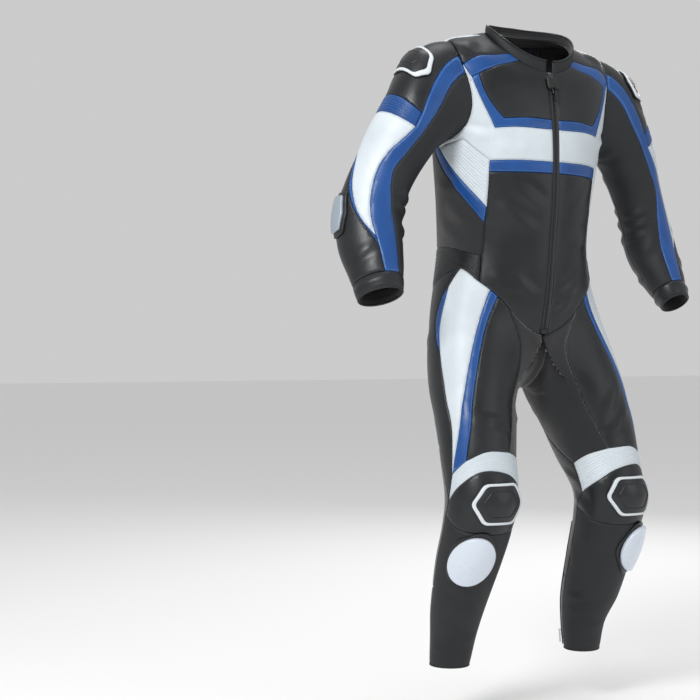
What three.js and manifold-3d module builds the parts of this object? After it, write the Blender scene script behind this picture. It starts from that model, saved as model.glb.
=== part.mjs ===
// A one-piece motorcycle race suit in leather and stretch cloth, filled out as if worn.
// Millimetres, +Z up. The front faces -Y and the wearer's left is +X. Tables give heights above the
// ground that the wearer stands on, and the whole suit is then lowered so that the origin lies at the
// base of the neck, where the wearer's shoulders carry it.
//
// Every panel is cut from one of five worn sheets: the torso, two sleeves and two legs. A place on a
// sheet is (around, along, out): degrees round the body or limb, a position along it, and millimetres
// out from the cloth's outer face. Seam lines are drawn once, cut with thin blades, and each panel is
// then picked out of the cut sheet by a point that lies on it.
import * as THREE from "three";
import { mergeVertices } from "three/addons/utils/BufferGeometryUtils.js";
import Module from "manifold-3d";

const wasm = await Module();
wasm.setup();

// Driving sizes
const NECK_HEIGHT = 1400; // the origin's height above the ground
const WALL = 2.4; // leather with its lining
const SEAM = 0.36; // clear width between two panels
const LIFT_ON = 1.2; // clear height under a zip that lies on a panel
const HEM = 118;
const CROTCH_RING = 672; // the highest level ring round one leg
const RISE_SPAN = 180; // along the leg, from that ring to the hip seam
const CUFF = 492;
const SHOULDER_SPAN = 115; // along the sleeve, from the armhole to the first ring round the arm
const NECK = 1462; // along the torso, where the collar is sewn on
const LEG_TOP = 852; // along the leg, at the hip seam
const ZIP_HALF = 2.2; // degrees, half of the front opening
const ARM_COLUMNS = 12;
const TORSO_COLUMNS = 18;
const INNER_LEG_COLUMNS = 4; // between the legs, beside the columns that meet the torso's

// Rings round the torso. Each leans forward or back of the body's axis, is tipped down at the front by
// tilt, and rises over the shoulders by saddle. along is the height until the shoulders bend it over.
const TORSO = {
  columns: ["along", "height", "side", "lean", "front", "back", "tilt", "saddle"],
  rows: [
    [760, 760, 206, -12, 74, 136, 0, 0],
    [830, 830, 200, -2, 102, 142, 0, 0],
    [900, 900, 183, 10, 128, 142, 0, 0],
    [985, 985, 167, 18, 146, 138, 0, 0],
    [1080, 1080, 172, 14, 152, 138, 0, 0],
    [1160, 1158, 184, 4, 145, 146, 5, 1],
    [1230, 1226, 197, -6, 134, 150, 13, 5],
    [1295, 1289, 209, -16, 120, 146, 22, 12],
    [1350, 1346, 209, -26, 106, 134, 31, 27],
    [1390, 1379, 186, -33, 94, 114, 38, 26],
    [1430, 1396, 136, -41, 80, 90, 46, 18],
    [1470, 1408, 93, -50, 66, 66, 50, 12],
  ],
};
// Height of the seam between torso and trousers, from the front centre round to the back centre.
const HIP_SEAM = {
  columns: ["around", "height"],
  rows: [
    [0, 799],
    [12, 816],
    [25, 850],
    [36, 879],
    [53, 911],
    [70, 938],
    [85, 930],
    [110, 905],
    [140, 890],
    [180, 884],
  ],
};
// The line between the legs, from the tip of the front panel under the crotch to the seat.
const RISE = {
  columns: ["share", "y", "height"],
  rows: [
    [0, -86, 799],
    [0.22, -68, 738],
    [0.45, 0, 694],
    [0.68, 84, 724],
    [0.85, 128, 800],
    [1, 144, 884],
  ],
};
// Level rings round the wearer's left leg. Both the leg's and the sleeve's rings are ovals set
// diagonally: side is their half width across it, fore and aft run to the inner front and outer back.
const LEG = {
  columns: ["along", "x", "y", "side", "fore", "aft"],
  rows: [
    [118, 173, -4, 38, 41, 41],
    [180, 170, -13, 46, 47, 47],
    [240, 172, -33, 60, 55, 55],
    [340, 170, -71, 68, 66, 67],
    [420, 167, -102, 73, 70, 72],
    [474, 163, -108, 75, 73, 74],
    [540, 153, -84, 87, 75, 77],
    [620, 141, -57, 100, 80, 83],
    [672, 131, -36, 108, 84, 90],
    [760, 114, -20, 114, 104, 112],
  ],
};
// Rings square to the wearer's left arm.
const SLEEVE = {
  columns: ["along", "x", "y", "z", "side", "fore", "aft"],
  rows: [
    [0, 205, -22, 1306, 80, 80, 80],
    [115, 284, -12, 1214, 66, 71, 71],
    [212, 331, 1, 1126, 55, 64, 64],
    [288, 357, 3, 1056, 54, 66, 66],
    [354, 367, -10, 992, 55, 67, 67],
    [428, 373, -44, 928, 45, 56, 56],
    [492, 380, -74, 874, 32, 46, 46],
  ],
};
const DIAGONAL = 45; // degrees, how far the ovals' fore end is turned inwards from the front
// The armhole is an oval on the torso.
const ARMHOLE = { around: 90, along: 1293, halfAround: 35, halfAlong: 92 };

// A column of a table between its rows, on a smooth curve through them.
function smooth(table, column, at) {
  const rows = table.rows;
  const c = table.columns.indexOf(column);
  let i = rows.findIndex((row) => row[0] > at) - 1;
  if (i < 0) i = at < rows[0][0] ? 0 : rows.length - 2;
  const slope = (k) => {
    const low = rows[Math.max(k - 1, 0)];
    const high = rows[Math.min(k + 1, rows.length - 1)];
    return (high[c] - low[c]) / (high[0] - low[0]);
  };
  const span = rows[i + 1][0] - rows[i][0];
  const s = (at - rows[i][0]) / span;
  return hermite(rows[i][c], slope(i) * span, rows[i + 1][c], slope(i + 1) * span, s);
}

function hermite(from, fromSlope, to, toSlope, s) {
  const t = 1 - s;
  const leaving = (1 + 2 * s) * t * t * from + s * t * t * fromSlope;
  const arriving = s * s * (3 - 2 * s) * to - s * s * t * toSlope;
  return leaving + arriving;
}

const radians = THREE.MathUtils.degToRad;
const V = (x, y, z) => new THREE.Vector3(x, y, z);

function torsoPoint(around, along) {
  const a = radians(around);
  const size = (column) => smooth(TORSO, column, along);
  const depth = Math.cos(a) > 0 ? size("front") : size("back");
  const height = size("height") - size("tilt") * Math.cos(a) - size("saddle") * Math.cos(2 * a);
  return V(size("side") * Math.sin(a), size("lean") - depth * Math.cos(a), height);
}

function hipSeam(around) {
  const turned = Math.abs(((around + 180) % 360) - 180);
  return smooth(HIP_SEAM, "height", turned);
}

// Rings of the legs and sleeves are made for the wearer's left. around runs from 0 at the front by 90
// on the outside to 180 at the back.
function oval(size, around) {
  const a = radians(around + DIAGONAL);
  const turned = radians(DIAGONAL);
  const depth = Math.cos(a) > 0 ? size("fore") : size("aft");
  const across = size("side") * Math.sin(a);
  const forward = depth * Math.cos(a);
  return {
    outward: across * Math.cos(turned) - forward * Math.sin(turned),
    forward: across * Math.sin(turned) + forward * Math.cos(turned),
  };
}

function legRing(around, along) {
  const size = (column) => smooth(LEG, column, along);
  const ring = oval(size, around);
  return V(size("x") + ring.outward, size("y") - ring.forward, along);
}

// The top edge of a leg: the hip seam round the outside, and the rise between the legs.
const OUTER_FROM = -42;
const OUTER_TO = 222;
function legTop(around) {
  const a = ((around - OUTER_FROM + 720) % 360) + OUTER_FROM;
  if (a <= OUTER_TO) {
    const torsoAround = (180 * (a - OUTER_FROM)) / (OUTER_TO - OUTER_FROM);
    const height = hipSeam(torsoAround);
    const point = torsoPoint(torsoAround, height);
    return { point, rising: torsoPoint(torsoAround, height + 1).sub(point) };
  }
  const share = 1 - (a - OUTER_TO) / (360 + OUTER_FROM - OUTER_TO);
  return { point: V(0, smooth(RISE, "y", share), smooth(RISE, "height", share)), rising: V(-1, 0, 0.2) };
}

function legPoint(around, along) {
  if (along <= CROTCH_RING) return legRing(around, along);
  const s = (along - CROTCH_RING) / RISE_SPAN;
  const low = legRing(around, CROTCH_RING);
  const top = legTop(around);
  const length = top.point.distanceTo(low);
  const leaving = legRing(around, CROTCH_RING + 1).sub(low).setLength(length);
  const arriving = top.rising.clone().setLength(length);
  const blend = (axis) => hermite(low[axis], leaving[axis], top.point[axis], arriving[axis], s);
  return V(blend("x"), blend("y"), blend("z"));
}

function sleeveRing(around, along) {
  const size = (column) => smooth(SLEEVE, column, along);
  const middleAt = (at) => V(...["x", "y", "z"].map((axis) => smooth(SLEEVE, axis, at)));
  const middle = middleAt(along);
  const ahead = middleAt(along + 1).sub(middle).normalize();
  const outer = V(1, 0, 0).addScaledVector(ahead, -ahead.x).normalize();
  const front = ahead.clone().cross(outer).normalize();
  if (front.y > 0) front.negate();
  const ring = oval(size, around);
  return middle.addScaledVector(outer, ring.outward).addScaledVector(front, ring.forward);
}

const FULL_CAP = 1.3; // how far the sleeve head stands out before it turns down
function sleevePoint(around, along) {
  if (along >= SHOULDER_SPAN) return sleeveRing(around, along);
  const a = radians(around);
  const s = along / SHOULDER_SPAN;
  const root = torsoPoint(
    ARMHOLE.around - ARMHOLE.halfAround * Math.cos(a),
    ARMHOLE.along + ARMHOLE.halfAlong * Math.sin(a),
  );
  const far = sleeveRing(around, SHOULDER_SPAN);
  const length = root.distanceTo(far);
  const leaving = V(1, 0, -0.06).setLength(FULL_CAP * length);
  const arriving = sleeveRing(around, SHOULDER_SPAN + 1).sub(far).setLength(length);
  const blend = (axis) => hermite(root[axis], leaving[axis], far[axis], arriving[axis], s);
  return V(blend("x"), blend("y"), blend("z"));
}

// Step from a place to its neighbours, in degrees round and millimetres along, for tangents.
const TURN_STEP = 0.5;
const ALONG_STEP = 1;

const SHEETS = {
  torso: { place: torsoPoint, outward: 1 },
  leg: { place: legPoint, outward: 1 },
  sleeve: { place: sleevePoint, outward: -1 },
};

function frameAt(sheet, around, along) {
  const { place, outward } = SHEETS[sheet];
  const across = place(around + TURN_STEP, along).sub(place(around - TURN_STEP, along));
  const up = place(around, along + ALONG_STEP).sub(place(around, along - ALONG_STEP));
  const degree = across.length() / (2 * TURN_STEP);
  const step = up.length() / (2 * ALONG_STEP);
  const normal = across.normalize().clone().cross(up.normalize()).multiplyScalar(outward).normalize();
  return { point: place(around, along), across, up, normal, degree, step };
}

function placed(sheet, around, along, out = 0) {
  const { point, normal } = frameAt(sheet, around, along);
  return point.addScaledVector(normal, out);
}

// A point of a line of (around, along) points, where at runs from 0 at its start to 1 at its end and
// every span takes an equal share.
function onLine(line, at) {
  const spans = line.length - 1;
  const i = THREE.MathUtils.clamp(Math.floor(at * spans), 0, spans - 1);
  const s = at * spans - i;
  return [0, 1].map((k) => line[i][k] * (1 - s) + line[i + 1][k] * s);
}

// Triangles and solids

// A closed wall between two grids of points of the same size, columns first.
function wall(outer, inner, round = false) {
  const columns = outer.length;
  const rows = outer[0].length;
  const points = [...outer.flat(), ...inner.flat()];
  const at = (face, i, j) => face * columns * rows + (i % columns) * rows + j;
  const faces = [];
  const quad = (a, b, c, d) => faces.push(a, b, c, a, c, d);
  const spans = round ? columns : columns - 1;
  for (let i = 0; i < spans; i += 1) {
    for (let j = 0; j < rows - 1; j += 1) {
      quad(at(0, i, j), at(0, i + 1, j), at(0, i + 1, j + 1), at(0, i, j + 1));
      quad(at(1, i, j), at(1, i, j + 1), at(1, i + 1, j + 1), at(1, i + 1, j));
    }
    quad(at(0, i, 0), at(1, i, 0), at(1, i + 1, 0), at(0, i + 1, 0));
    quad(at(0, i, rows - 1), at(0, i + 1, rows - 1), at(1, i + 1, rows - 1), at(1, i, rows - 1));
  }
  if (!round) {
    for (let j = 0; j < rows - 1; j += 1) {
      quad(at(0, 0, j), at(0, 0, j + 1), at(1, 0, j + 1), at(1, 0, j));
      quad(at(0, spans, j), at(1, spans, j), at(1, spans, j + 1), at(0, spans, j + 1));
    }
  }
  return closedBody(points, faces);
}

function closedBody(points, faces) {
  let volume = 0;
  const cross = V(0, 0, 0);
  for (let k = 0; k < faces.length; k += 3) {
    cross.crossVectors(points[faces[k + 1]], points[faces[k + 2]]);
    volume += points[faces[k]].dot(cross);
  }
  if (volume < 0) faces.reverse();
  const coordinates = points.flatMap((point) => point.toArray());
  const geometry = new THREE.BufferGeometry();
  geometry.setAttribute("position", new THREE.Float32BufferAttribute(coordinates, 3));
  geometry.setIndex(faces);
  return geometry;
}

function toSolid(geometry) {
  let bare = geometry.clone();
  bare.deleteAttribute("normal");
  bare.deleteAttribute("uv");
  bare = mergeVertices(bare, 1e-4);
  return new wasm.Manifold(
    new wasm.Mesh({
      numProp: 3,
      vertProperties: new Float32Array(bare.attributes.position.array),
      triVerts: new Uint32Array(bare.index.array),
    }),
  );
}

function toGeometry(solid) {
  const mesh = solid.getMesh();
  const geometry = new THREE.BufferGeometry();
  geometry.setAttribute("position", new THREE.Float32BufferAttribute(mesh.vertProperties, 3));
  geometry.setIndex(Array.from(mesh.triVerts));
  return geometry;
}

// Seams are cut with a thin blade that follows a line over the cloth and passes through its wall. Its
// sides are mitred where the line bends.
const BLADE = { inside: -20, outside: 18, step: 110 };
const SHARPEST = 0.4; // least cosine of half a bend, so that a mitre stays short
function blade(stops) {
  const last = stops.length - 1;
  const direction = (i) => stops[i + 1].point.clone().sub(stops[i].point).normalize();
  const columns = stops.map((stop, i) => {
    const before = direction(Math.max(i - 1, 0));
    const after = direction(Math.min(i, last - 1));
    const ahead = before.clone().add(after).normalize();
    const mitre = Math.max(SHARPEST, ahead.dot(after));
    const aside = ahead.clone().cross(stop.normal).normalize().multiplyScalar(SEAM / 2 / mitre);
    const end = i === 0 ? -1 : Number(i === last);
    const point = stop.point.clone().addScaledVector(ahead, (end * SEAM) / 2);
    return { point, aside, normal: stop.normal };
  });
  const face = (side) =>
    columns.map(({ point, aside, normal }) =>
      [BLADE.inside, BLADE.outside].map((out) =>
        point.clone().addScaledVector(aside, side).addScaledVector(normal, out),
      ),
    );
  return toSolid(wall(face(1), face(-1)));
}

function seamBlade(sheet, line) {
  const stops = [];
  line.forEach((point, i) => {
    if (i === 0) return;
    const [a, v] = line[i - 1];
    const span = placed(sheet, a, v).distanceTo(placed(sheet, ...point));
    const pieces = Math.max(1, Math.ceil(span / BLADE.step));
    for (let k = i === 1 ? 0 : 1; k <= pieces; k += 1) {
      const s = k / pieces;
      stops.push(frameAt(sheet, a + (point[0] - a) * s, v + (point[1] - v) * s));
    }
  });
  return blade(stops);
}

const mirrored = (line) => line.map(([around, along]) => [360 - around, along]);

// Cuts a sheet along its seams and names the pieces that the seeds lie on.
function cutPanels(sheetWall, sheet, blocks, seeds) {
  const pieces = toSolid(sheetWall).subtract(wasm.Manifold.union(blocks)).decompose();
  const bodies = pieces.map(toGeometry);
  const triangle = new THREE.Triangle();
  const nearest = V(0, 0, 0);
  const gap = (body, point) => {
    let least = Infinity;
    for (let k = 0; k < body.index.count; k += 3) {
      const corners = [0, 1, 2].map((n) => body.index.getX(k + n));
      triangle.setFromAttributeAndIndices(body.attributes.position, ...corners);
      triangle.closestPointToPoint(point, nearest);
      const distance = nearest.distanceTo(point);
      if (distance < least) least = distance;
    }
    return least;
  };
  return Object.fromEntries(
    Object.entries(seeds).map(([name, seed]) => {
      const point = placed(sheet, seed[0], seed[1], -WALL / 2);
      const gaps = bodies.map((body) => gap(body, point));
      return [name, bodies[gaps.indexOf(Math.min(...gaps))]];
    }),
  );
}

// The torso sheet. Its columns are an equal turn apart, but for the two beside the zip.
const HALF_TURN = 180;
const torsoTurns = [];
for (let i = 0; i <= TORSO_COLUMNS; i += 1) {
  const turn = (360 * i) / TORSO_COLUMNS;
  torsoTurns.push(THREE.MathUtils.clamp(turn, ZIP_HALF, 360 - ZIP_HALF));
}
// Levels of the grids that the sheets are made from: shares of the torso's height, then places along a
// sleeve and up a leg. They lie closer where the form turns.
const TORSO_LEVELS = [0, 0.16, 0.32, 0.46, 0.6, 0.72, 0.82, 0.92, 1];
const SLEEVE_LEVELS = [0, 36, 75, 115, 180, 250, 320, 400, CUFF];
const LEG_LEVELS = [HEM, 190, 270, 350, 425, 485, 550, 625, 690, 755, LEG_TOP - 2 * SEAM];
const rowsBetween = (from, to, rows) =>
  Array.from({ length: rows + 1 }, (_, j) => from + ((to - from) * j) / rows);
const torsoGrid = (out) =>
  torsoTurns.map((turn) =>
    TORSO_LEVELS.map((share) => {
      const low = hipSeam(turn) + SEAM / 2;
      return placed("torso", turn, low + (NECK - low) * share, out);
    }),
  );

// Blades run on past the edges of a sheet, so that they cut right through.
const PAST_EDGE = 6;
const hipAt = (turn) => [turn, hipSeam(turn) - PAST_EDGE];
const ABOVE_NECK = NECK + PAST_EDGE;
const ABOVE_CAP = -PAST_EDGE;
const BELOW_CUFF = CUFF + PAST_EDGE;
const LUMBAR_LOW = 928; // top of the lumbar pleats
const PAST_ZIP = 1; // degrees, inside the front opening
// Seams of the torso's left half
const TORSO_SEAMS = {
  chestTop: [[40, ABOVE_NECK], [42, 1389], [50, 1350], [40, 1290], [34, 1263], [PAST_ZIP, 1276]],
  shoulderFront: [[53, ABOVE_NECK], [56, 1401], [63, 1356], [66, 1352]],
  yokeLow: [[63, 1356], [55, 1336], [45, 1275], [41, 1237], [PAST_ZIP, 1248]],
  chestLow: [[PAST_ZIP, 1137], [48, 1136]],
  princess: [[66, 1206], [47, 1161], [48, 1136], [51, 1062], [53, 1030], [54, 964], hipAt(52)],
  underArm: [[66, 1206], [94, 1190], [97, 1215]],
  ribsLow: [[94, 1190], [51, 1062]],
  sideBack: [[114, 1247], [124, 1200], [143, 990], [120, 988], [120, LUMBAR_LOW], hipAt(120)],
  lumbarTop: [[143, 990], [180, 990]],
  lumbarLow: [[120, LUMBAR_LOW], [180, LUMBAR_LOW]],
  bandBack: [[122, 1300], [133, 1349], [146, 1170], [155, 1034], [180, 1030]],
  shoulderBack: [[133, 1349], [100, 1452], [98, 1372]],
  spineBand: [[133, ABOVE_NECK], [175.5, 1264]],
  spine: [[168, ABOVE_NECK], [175.5, 1264], [180, 1264]],
};
const BACK_CENTRE = [[180, 1264], [180, 990]];

// The blade round the armhole is one seam wide: 1 step of it is this much, in degrees and millimetres.
const ARMHOLE_STEP = { around: 0.13, along: 0.4 };
const armholeStops = (steps) =>
  Array.from({ length: ARM_COLUMNS }, (_, i) => {
    const a = (2 * Math.PI * i) / ARM_COLUMNS;
    const halfAround = ARMHOLE.halfAround + steps * ARMHOLE_STEP.around;
    const halfAlong = ARMHOLE.halfAlong + steps * ARMHOLE_STEP.along;
    const turn = ARMHOLE.around - halfAround * Math.cos(a);
    return frameAt("torso", turn, ARMHOLE.along + halfAlong * Math.sin(a));
  });
// A blade round a closed line is a ring, with no ends.
function closedBlade(stops) {
  const face = (steps) =>
    stops(steps).map(({ point, normal }) =>
      [BLADE.inside, BLADE.outside].map((out) => point.clone().addScaledVector(normal, out)),
    );
  return toSolid(wall(face(2), face(0.2), true));
}
const flipped = (geometry) => {
  const copy = geometry.clone().scale(-1, 1, 1);
  copy.setIndex(Array.from(copy.index.array).reverse());
  return copy;
};

const leftBlocks = [
  ...Object.values(TORSO_SEAMS).map((line) => seamBlade("torso", line)),
  closedBlade(armholeStops),
];
const rightBlocks = leftBlocks.map((block) => block.mirror([1, 0, 0]));
const torsoBlocks = [...leftBlocks, ...rightBlocks, seamBlade("torso", BACK_CENTRE)];

const sides = { left: (line) => line, right: mirrored };
const TORSO_SEEDS = {
  chest_upper: [20, 1330],
  yoke: [47, 1395],
  chest: [25, 1200],
  front: [25, 1030],
  side: [95, 1080],
  back_band: [146, 1080],
  spine_band: [158, 1360],
  back: [160, 1180],
};
const seedsOf = (table) =>
  Object.fromEntries(
    Object.entries(sides).flatMap(([side, turned]) =>
      Object.entries(table).map(([name, seed]) => [`${name}_${side}`, turned([seed])[0]]),
    ),
  );

const panels = cutPanels(wall(torsoGrid(0), torsoGrid(-WALL)), "torso", torsoBlocks, {
  ...seedsOf(TORSO_SEEDS),
  spine: [180, 1380],
  lumbar: [180, 960],
});

// The sleeve and leg sheets are whole rings.
const ring = (columns) => Array.from({ length: columns }, (_, i) => (360 * i) / columns);
const sleeveGrid = (out) =>
  ring(ARM_COLUMNS).map((turn) => SLEEVE_LEVELS.map((along) => placed("sleeve", turn, along, out)));
const SLEEVE_SEAMS = {
  stripeOuter: [
    [54, ABOVE_CAP], [34, 45], [20, 95], [18, 117], [38, 180], [41, 235], [22, 385], [15, BELOW_CUFF],
  ],
  stripeInner: [
    [30, ABOVE_CAP], [4, 64], [2, 117], [14, 205], [-6, 285], [-22, 383], [-27, BELOW_CUFF],
  ],
  upperLow: [[20, 95], [150, 95]],
  upperBack: [[150, ABOVE_CAP], [150, 95], [150, 117], [150, 165], [87, 248], [50, 320], [22, 385]],
  ribsLow: [[18, 117], [150, 117]],
};
const SLEEVE_SEEDS = {
  sleeve_upper: [90, 60],
  sleeve_white: [90, 170],
  sleeve_stripe: [12, 140],
  sleeve_arm: [200, 300],
};

// Each leg column above the rise meets a column of the torso.
const legTurns = [
  ...[0, ...torsoTurns.slice(0, TORSO_COLUMNS / 2 + 1)].map(
    (turn) => OUTER_FROM + (turn / HALF_TURN) * (OUTER_TO - OUTER_FROM),
  ),
  ...rowsBetween(OUTER_TO, 360 + OUTER_FROM, INNER_LEG_COLUMNS).slice(1, -1),
];
const legGrid = (out) =>
  legTurns.map((turn) => LEG_LEVELS.map((along) => placed("leg", turn, along, out)));
const ABOVE_LEG = LEG_TOP + PAST_EDGE;
const KNEE_TOP = [[80, 522], [52, 550], [18, 568], [-20, 565], [-50, 552], [-78, 532]];
const KNEE_LOW = [[97, 472], [66, 504], [28, 530], [-13, 524], [-50, 499], [-88, 472]];
const LEG_SEAMS = {
  whiteInner: [[21, ABOVE_LEG], [29, 796], [45, 686], [60, 600], [80, 522]],
  whiteOuter: [[61, ABOVE_LEG], [76, 830], [85, 770], [73, 684], [69, 610], [80, 522]],
  frontInner: [[-2, ABOVE_LEG], [-14, 830], [-22, 800], [-33, 680], [-28, 610], [-20, 565]],
  kneeTop: KNEE_TOP,
  kneeLow: KNEE_LOW,
  kneeOuter: [[80, 522], [97, 472], [106, 440], [106, 288]],
  kneeInner: [[-78, 532], [-88, 472], [-104, 440], [-106, 285]],
  calf: [[-106, 285], [-180, 280], [-254, 288]],
  seat: [[-95, ABOVE_LEG], [-110, 700], [-128, 600], [-180, 572], [-245, 572], [-256, 520], [-263, 472]],
};
const LEG_SEEDS = {
  thigh_white: [62, 700],
  thigh_front: [5, 700],
  leg_stretch: [-90, 620],
  seat: [160, 720],
  shin: [0, 300],
};

const blades = { torso: torsoBlocks };
const limbs = [
  ["sleeve", wall(sleeveGrid(0), sleeveGrid(-WALL), true), SLEEVE_SEAMS, SLEEVE_SEEDS],
  ["leg", wall(legGrid(0), legGrid(-WALL), true), LEG_SEAMS, LEG_SEEDS],
];
for (const [sheet, sheetWall, seams, seeds] of limbs) {
  blades[sheet] = Object.values(seams).map((line) => seamBlade(sheet, line));
  for (const [name, body] of Object.entries(cutPanels(sheetWall, sheet, blades[sheet], seeds))) {
    panels[`${name}_left`] = body;
    panels[`${name}_right`] = flipped(body);
  }
}

// Accordion panels: pleats stand up from one rail to the other between plain ends.
const SPARE = 1.5; // past the middle of the seams, trimmed off by the blades
function pleated({ sheet, from, to, pleats, height, steps, spare = SPARE }) {
  const turns = rowsBetween(0, 1, steps * (from.length - 1));
  const levels = rowsBetween(0, 1, 2 * pleats);
  const grid = (crest, base) =>
    turns.map((u) =>
      levels.map((v, j) => {
        const ends = [onLine(from, u), onLine(to, u)];
        const span = placed(sheet, ...ends[0]).distanceTo(placed(sheet, ...ends[1]));
        const length = placed(sheet, ...onLine(from, 0)).distanceTo(placed(sheet, ...onLine(from, 1)));
        const wider = (share, size) => share - (spare / size) * (1 - 2 * share);
        const along = wider(v, span);
        const low = onLine(from, wider(u, length));
        const high = onLine(to, wider(u, length));
        const [a, b] = [0, 1].map((k) => low[k] * (1 - along) + high[k] * along);
        return placed(sheet, a, b, j % 2 ? crest : base);
      }),
    );
  const pieces = toSolid(wall(grid(height, 0), grid(-WALL, -WALL)))
    .subtract(wasm.Manifold.union(blades[sheet]))
    .decompose();
  pieces.sort((a, b) => b.volume() - a.volume());
  return toGeometry(pieces[0]);
}

const hipRail = (turns) => turns.map((turn) => [turn, hipSeam(turn) + SEAM / 2 + SPARE]);
// A rail just clear of the armhole, at degrees round the armhole's oval from its outer end.
const armholeRail = [75, 51, 28, 5].map((degrees) => {
  const a = radians(degrees);
  const turn = ARMHOLE.around + (ARMHOLE.halfAround + 0.9) * Math.cos(a);
  return [turn, ARMHOLE.along + (ARMHOLE.halfAlong + 2.6) * Math.sin(a)];
});
const PLEATED = [
  {
    name: "chest_accordion",
    sheet: "torso",
    from: [[94, 1190], [51, 1062]],
    to: [[66, 1206], [47, 1161]],
    pleats: 9,
    height: 2.2,
    steps: 2,
  },
  {
    name: "shoulder_accordion",
    sheet: "torso",
    from: [[100, 1452], [111, 1417.7], [122, 1383.3], [133, 1349]],
    to: armholeRail,
    pleats: 6,
    height: 2.2,
    steps: 1,
  },
  {
    name: "sleeve_accordion",
    sheet: "sleeve",
    from: [[19, 95], [150, 95]],
    to: [[18.2, 117], [150, 117]],
    pleats: 5,
    height: 1.8,
    steps: 4,
  },
  { name: "knee_accordion", sheet: "leg", from: KNEE_TOP, to: KNEE_LOW, pleats: 5, height: 2.6, steps: 1 },
];
for (const { name, ...piece } of PLEATED) {
  const body = pleated(piece);
  panels[`${name}_left`] = body;
  panels[`${name}_right`] = flipped(body);
}
const lumbarTurns = [120, 140, 160, 180, 200, 220, 240];
const lumbarRail = lumbarTurns.map((turn) => [turn, LUMBAR_LOW]);
panels.lumbar_accordion = pleated({
  sheet: "torso",
  from: lumbarRail,
  to: hipRail(lumbarTurns),
  pleats: 4,
  height: 1.8,
  steps: 1,
});

// Hard cups and sliders lie on a panel: a domed shell over an outline of corners, given in millimetres
// across and along from its middle.
const CUP_RINGS = [0.5, 1];
function cup({ sheet, at, corners, height, rim, lift }) {
  const middle = frameAt(sheet, ...at);
  const outline = corners.flatMap((corner, k) => {
    const next = corners[(k + 1) % corners.length];
    return [corner, [(corner[0] + next[0]) / 2, (corner[1] + next[1]) / 2]];
  });
  const sides = outline.length;
  const spot = (share, [across, up], out) =>
    placed(sheet, at[0] + (share * across) / middle.degree, at[1] + (share * up) / middle.step, out);
  const domed = (share) => lift + rim + (height - rim) * Math.cos((Math.PI / 2) * share);
  const points = [domed, () => lift].flatMap((out) => [
    spot(0, outline[0], out(0)),
    ...CUP_RINGS.flatMap((share) => outline.map((corner) => spot(share, corner, out(share)))),
  ]);
  const layerSize = 1 + CUP_RINGS.length * sides;
  const id = (layer, ring, k) => layer * layerSize + 1 + ring * sides + (k % sides);
  const faces = [];
  for (let k = 0; k < sides; k += 1) {
    for (const layer of [0, 1]) {
      const slice = [
        [layer * layerSize, id(layer, 0, k), id(layer, 0, k + 1)],
        [id(layer, 0, k), id(layer, 1, k), id(layer, 1, k + 1)],
        [id(layer, 0, k), id(layer, 1, k + 1), id(layer, 0, k + 1)],
      ];
      for (const triangle of slice) faces.push(...(layer ? triangle.reverse() : triangle));
    }
    faces.push(id(0, 1, k), id(1, 1, k), id(1, 1, k + 1));
    faces.push(id(0, 1, k), id(1, 1, k + 1), id(0, 1, k + 1));
  }
  return closedBody(points, faces);
}
// Half its width, half its height, and half its width where it is cut off above and below.
const hexagon = (wide, high, cut) => [
  [wide, 0],
  [cut, high],
  [-cut, high],
  [-wide, 0],
  [-cut, -high],
  [cut, -high],
];
// lift keeps a cup's flat facets clear of the cloth, which is curved.
const CUPS = [
  { name: "shoulder_cup", sheet: "sleeve", at: [90, 50], size: [60, 32, 40], height: 9, rim: 4, lift: 1.7 },
  { name: "elbow_cup", sheet: "sleeve", at: [98, 313], size: [26, 48, 16], height: 15, rim: 6, lift: 0.8 },
  { name: "knee_cup", sheet: "leg", at: [0, 470], size: [56, 47, 34], height: 9, rim: 4, lift: 2.6 },
  { name: "knee_puck", sheet: "leg", at: [32, 352], size: [45, 56, 30], height: 17, rim: 7, lift: 2 },
];
for (const { name, size, ...piece } of CUPS) {
  const body = cup({ ...piece, corners: hexagon(...size) });
  panels[`${name}_left`] = body;
  panels[`${name}_right`] = flipped(body);
}

// The collar stands on the neck edge, highest at the front.
const COLLAR = {
  columns: ["around", "height", "forward"],
  rows: [
    [0, 24, 1],
    [60, 20, 2],
    [120, 14, 3],
    [180, 18, 6],
  ],
};
const COLLAR_WALL = 3;
const COLLAR_OUT = 0.3; // its outer face, off the sheet's
const COLLAR_LIFT = 1; // clear of the neck edge
const COLLAR_GAP = 4.5; // degrees, half of its front opening
const collarGrid = (out) =>
  [COLLAR_GAP, ...torsoTurns.slice(1, -1), 360 - COLLAR_GAP].map((turn) => {
    const half = Math.abs(((turn + 180) % 360) - 180);
    const foot = frameAt("torso", turn, NECK);
    return rowsBetween(0, 1, 2).map((share) => {
      const rise = share * smooth(COLLAR, "height", half);
      const lean = share * share * smooth(COLLAR, "forward", half);
      return foot.point.clone().addScaledVector(foot.normal, out).add(V(0, -lean, COLLAR_LIFT + rise));
    });
  });
panels.collar = wall(collarGrid(COLLAR_OUT), collarGrid(COLLAR_OUT - COLLAR_WALL));

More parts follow.
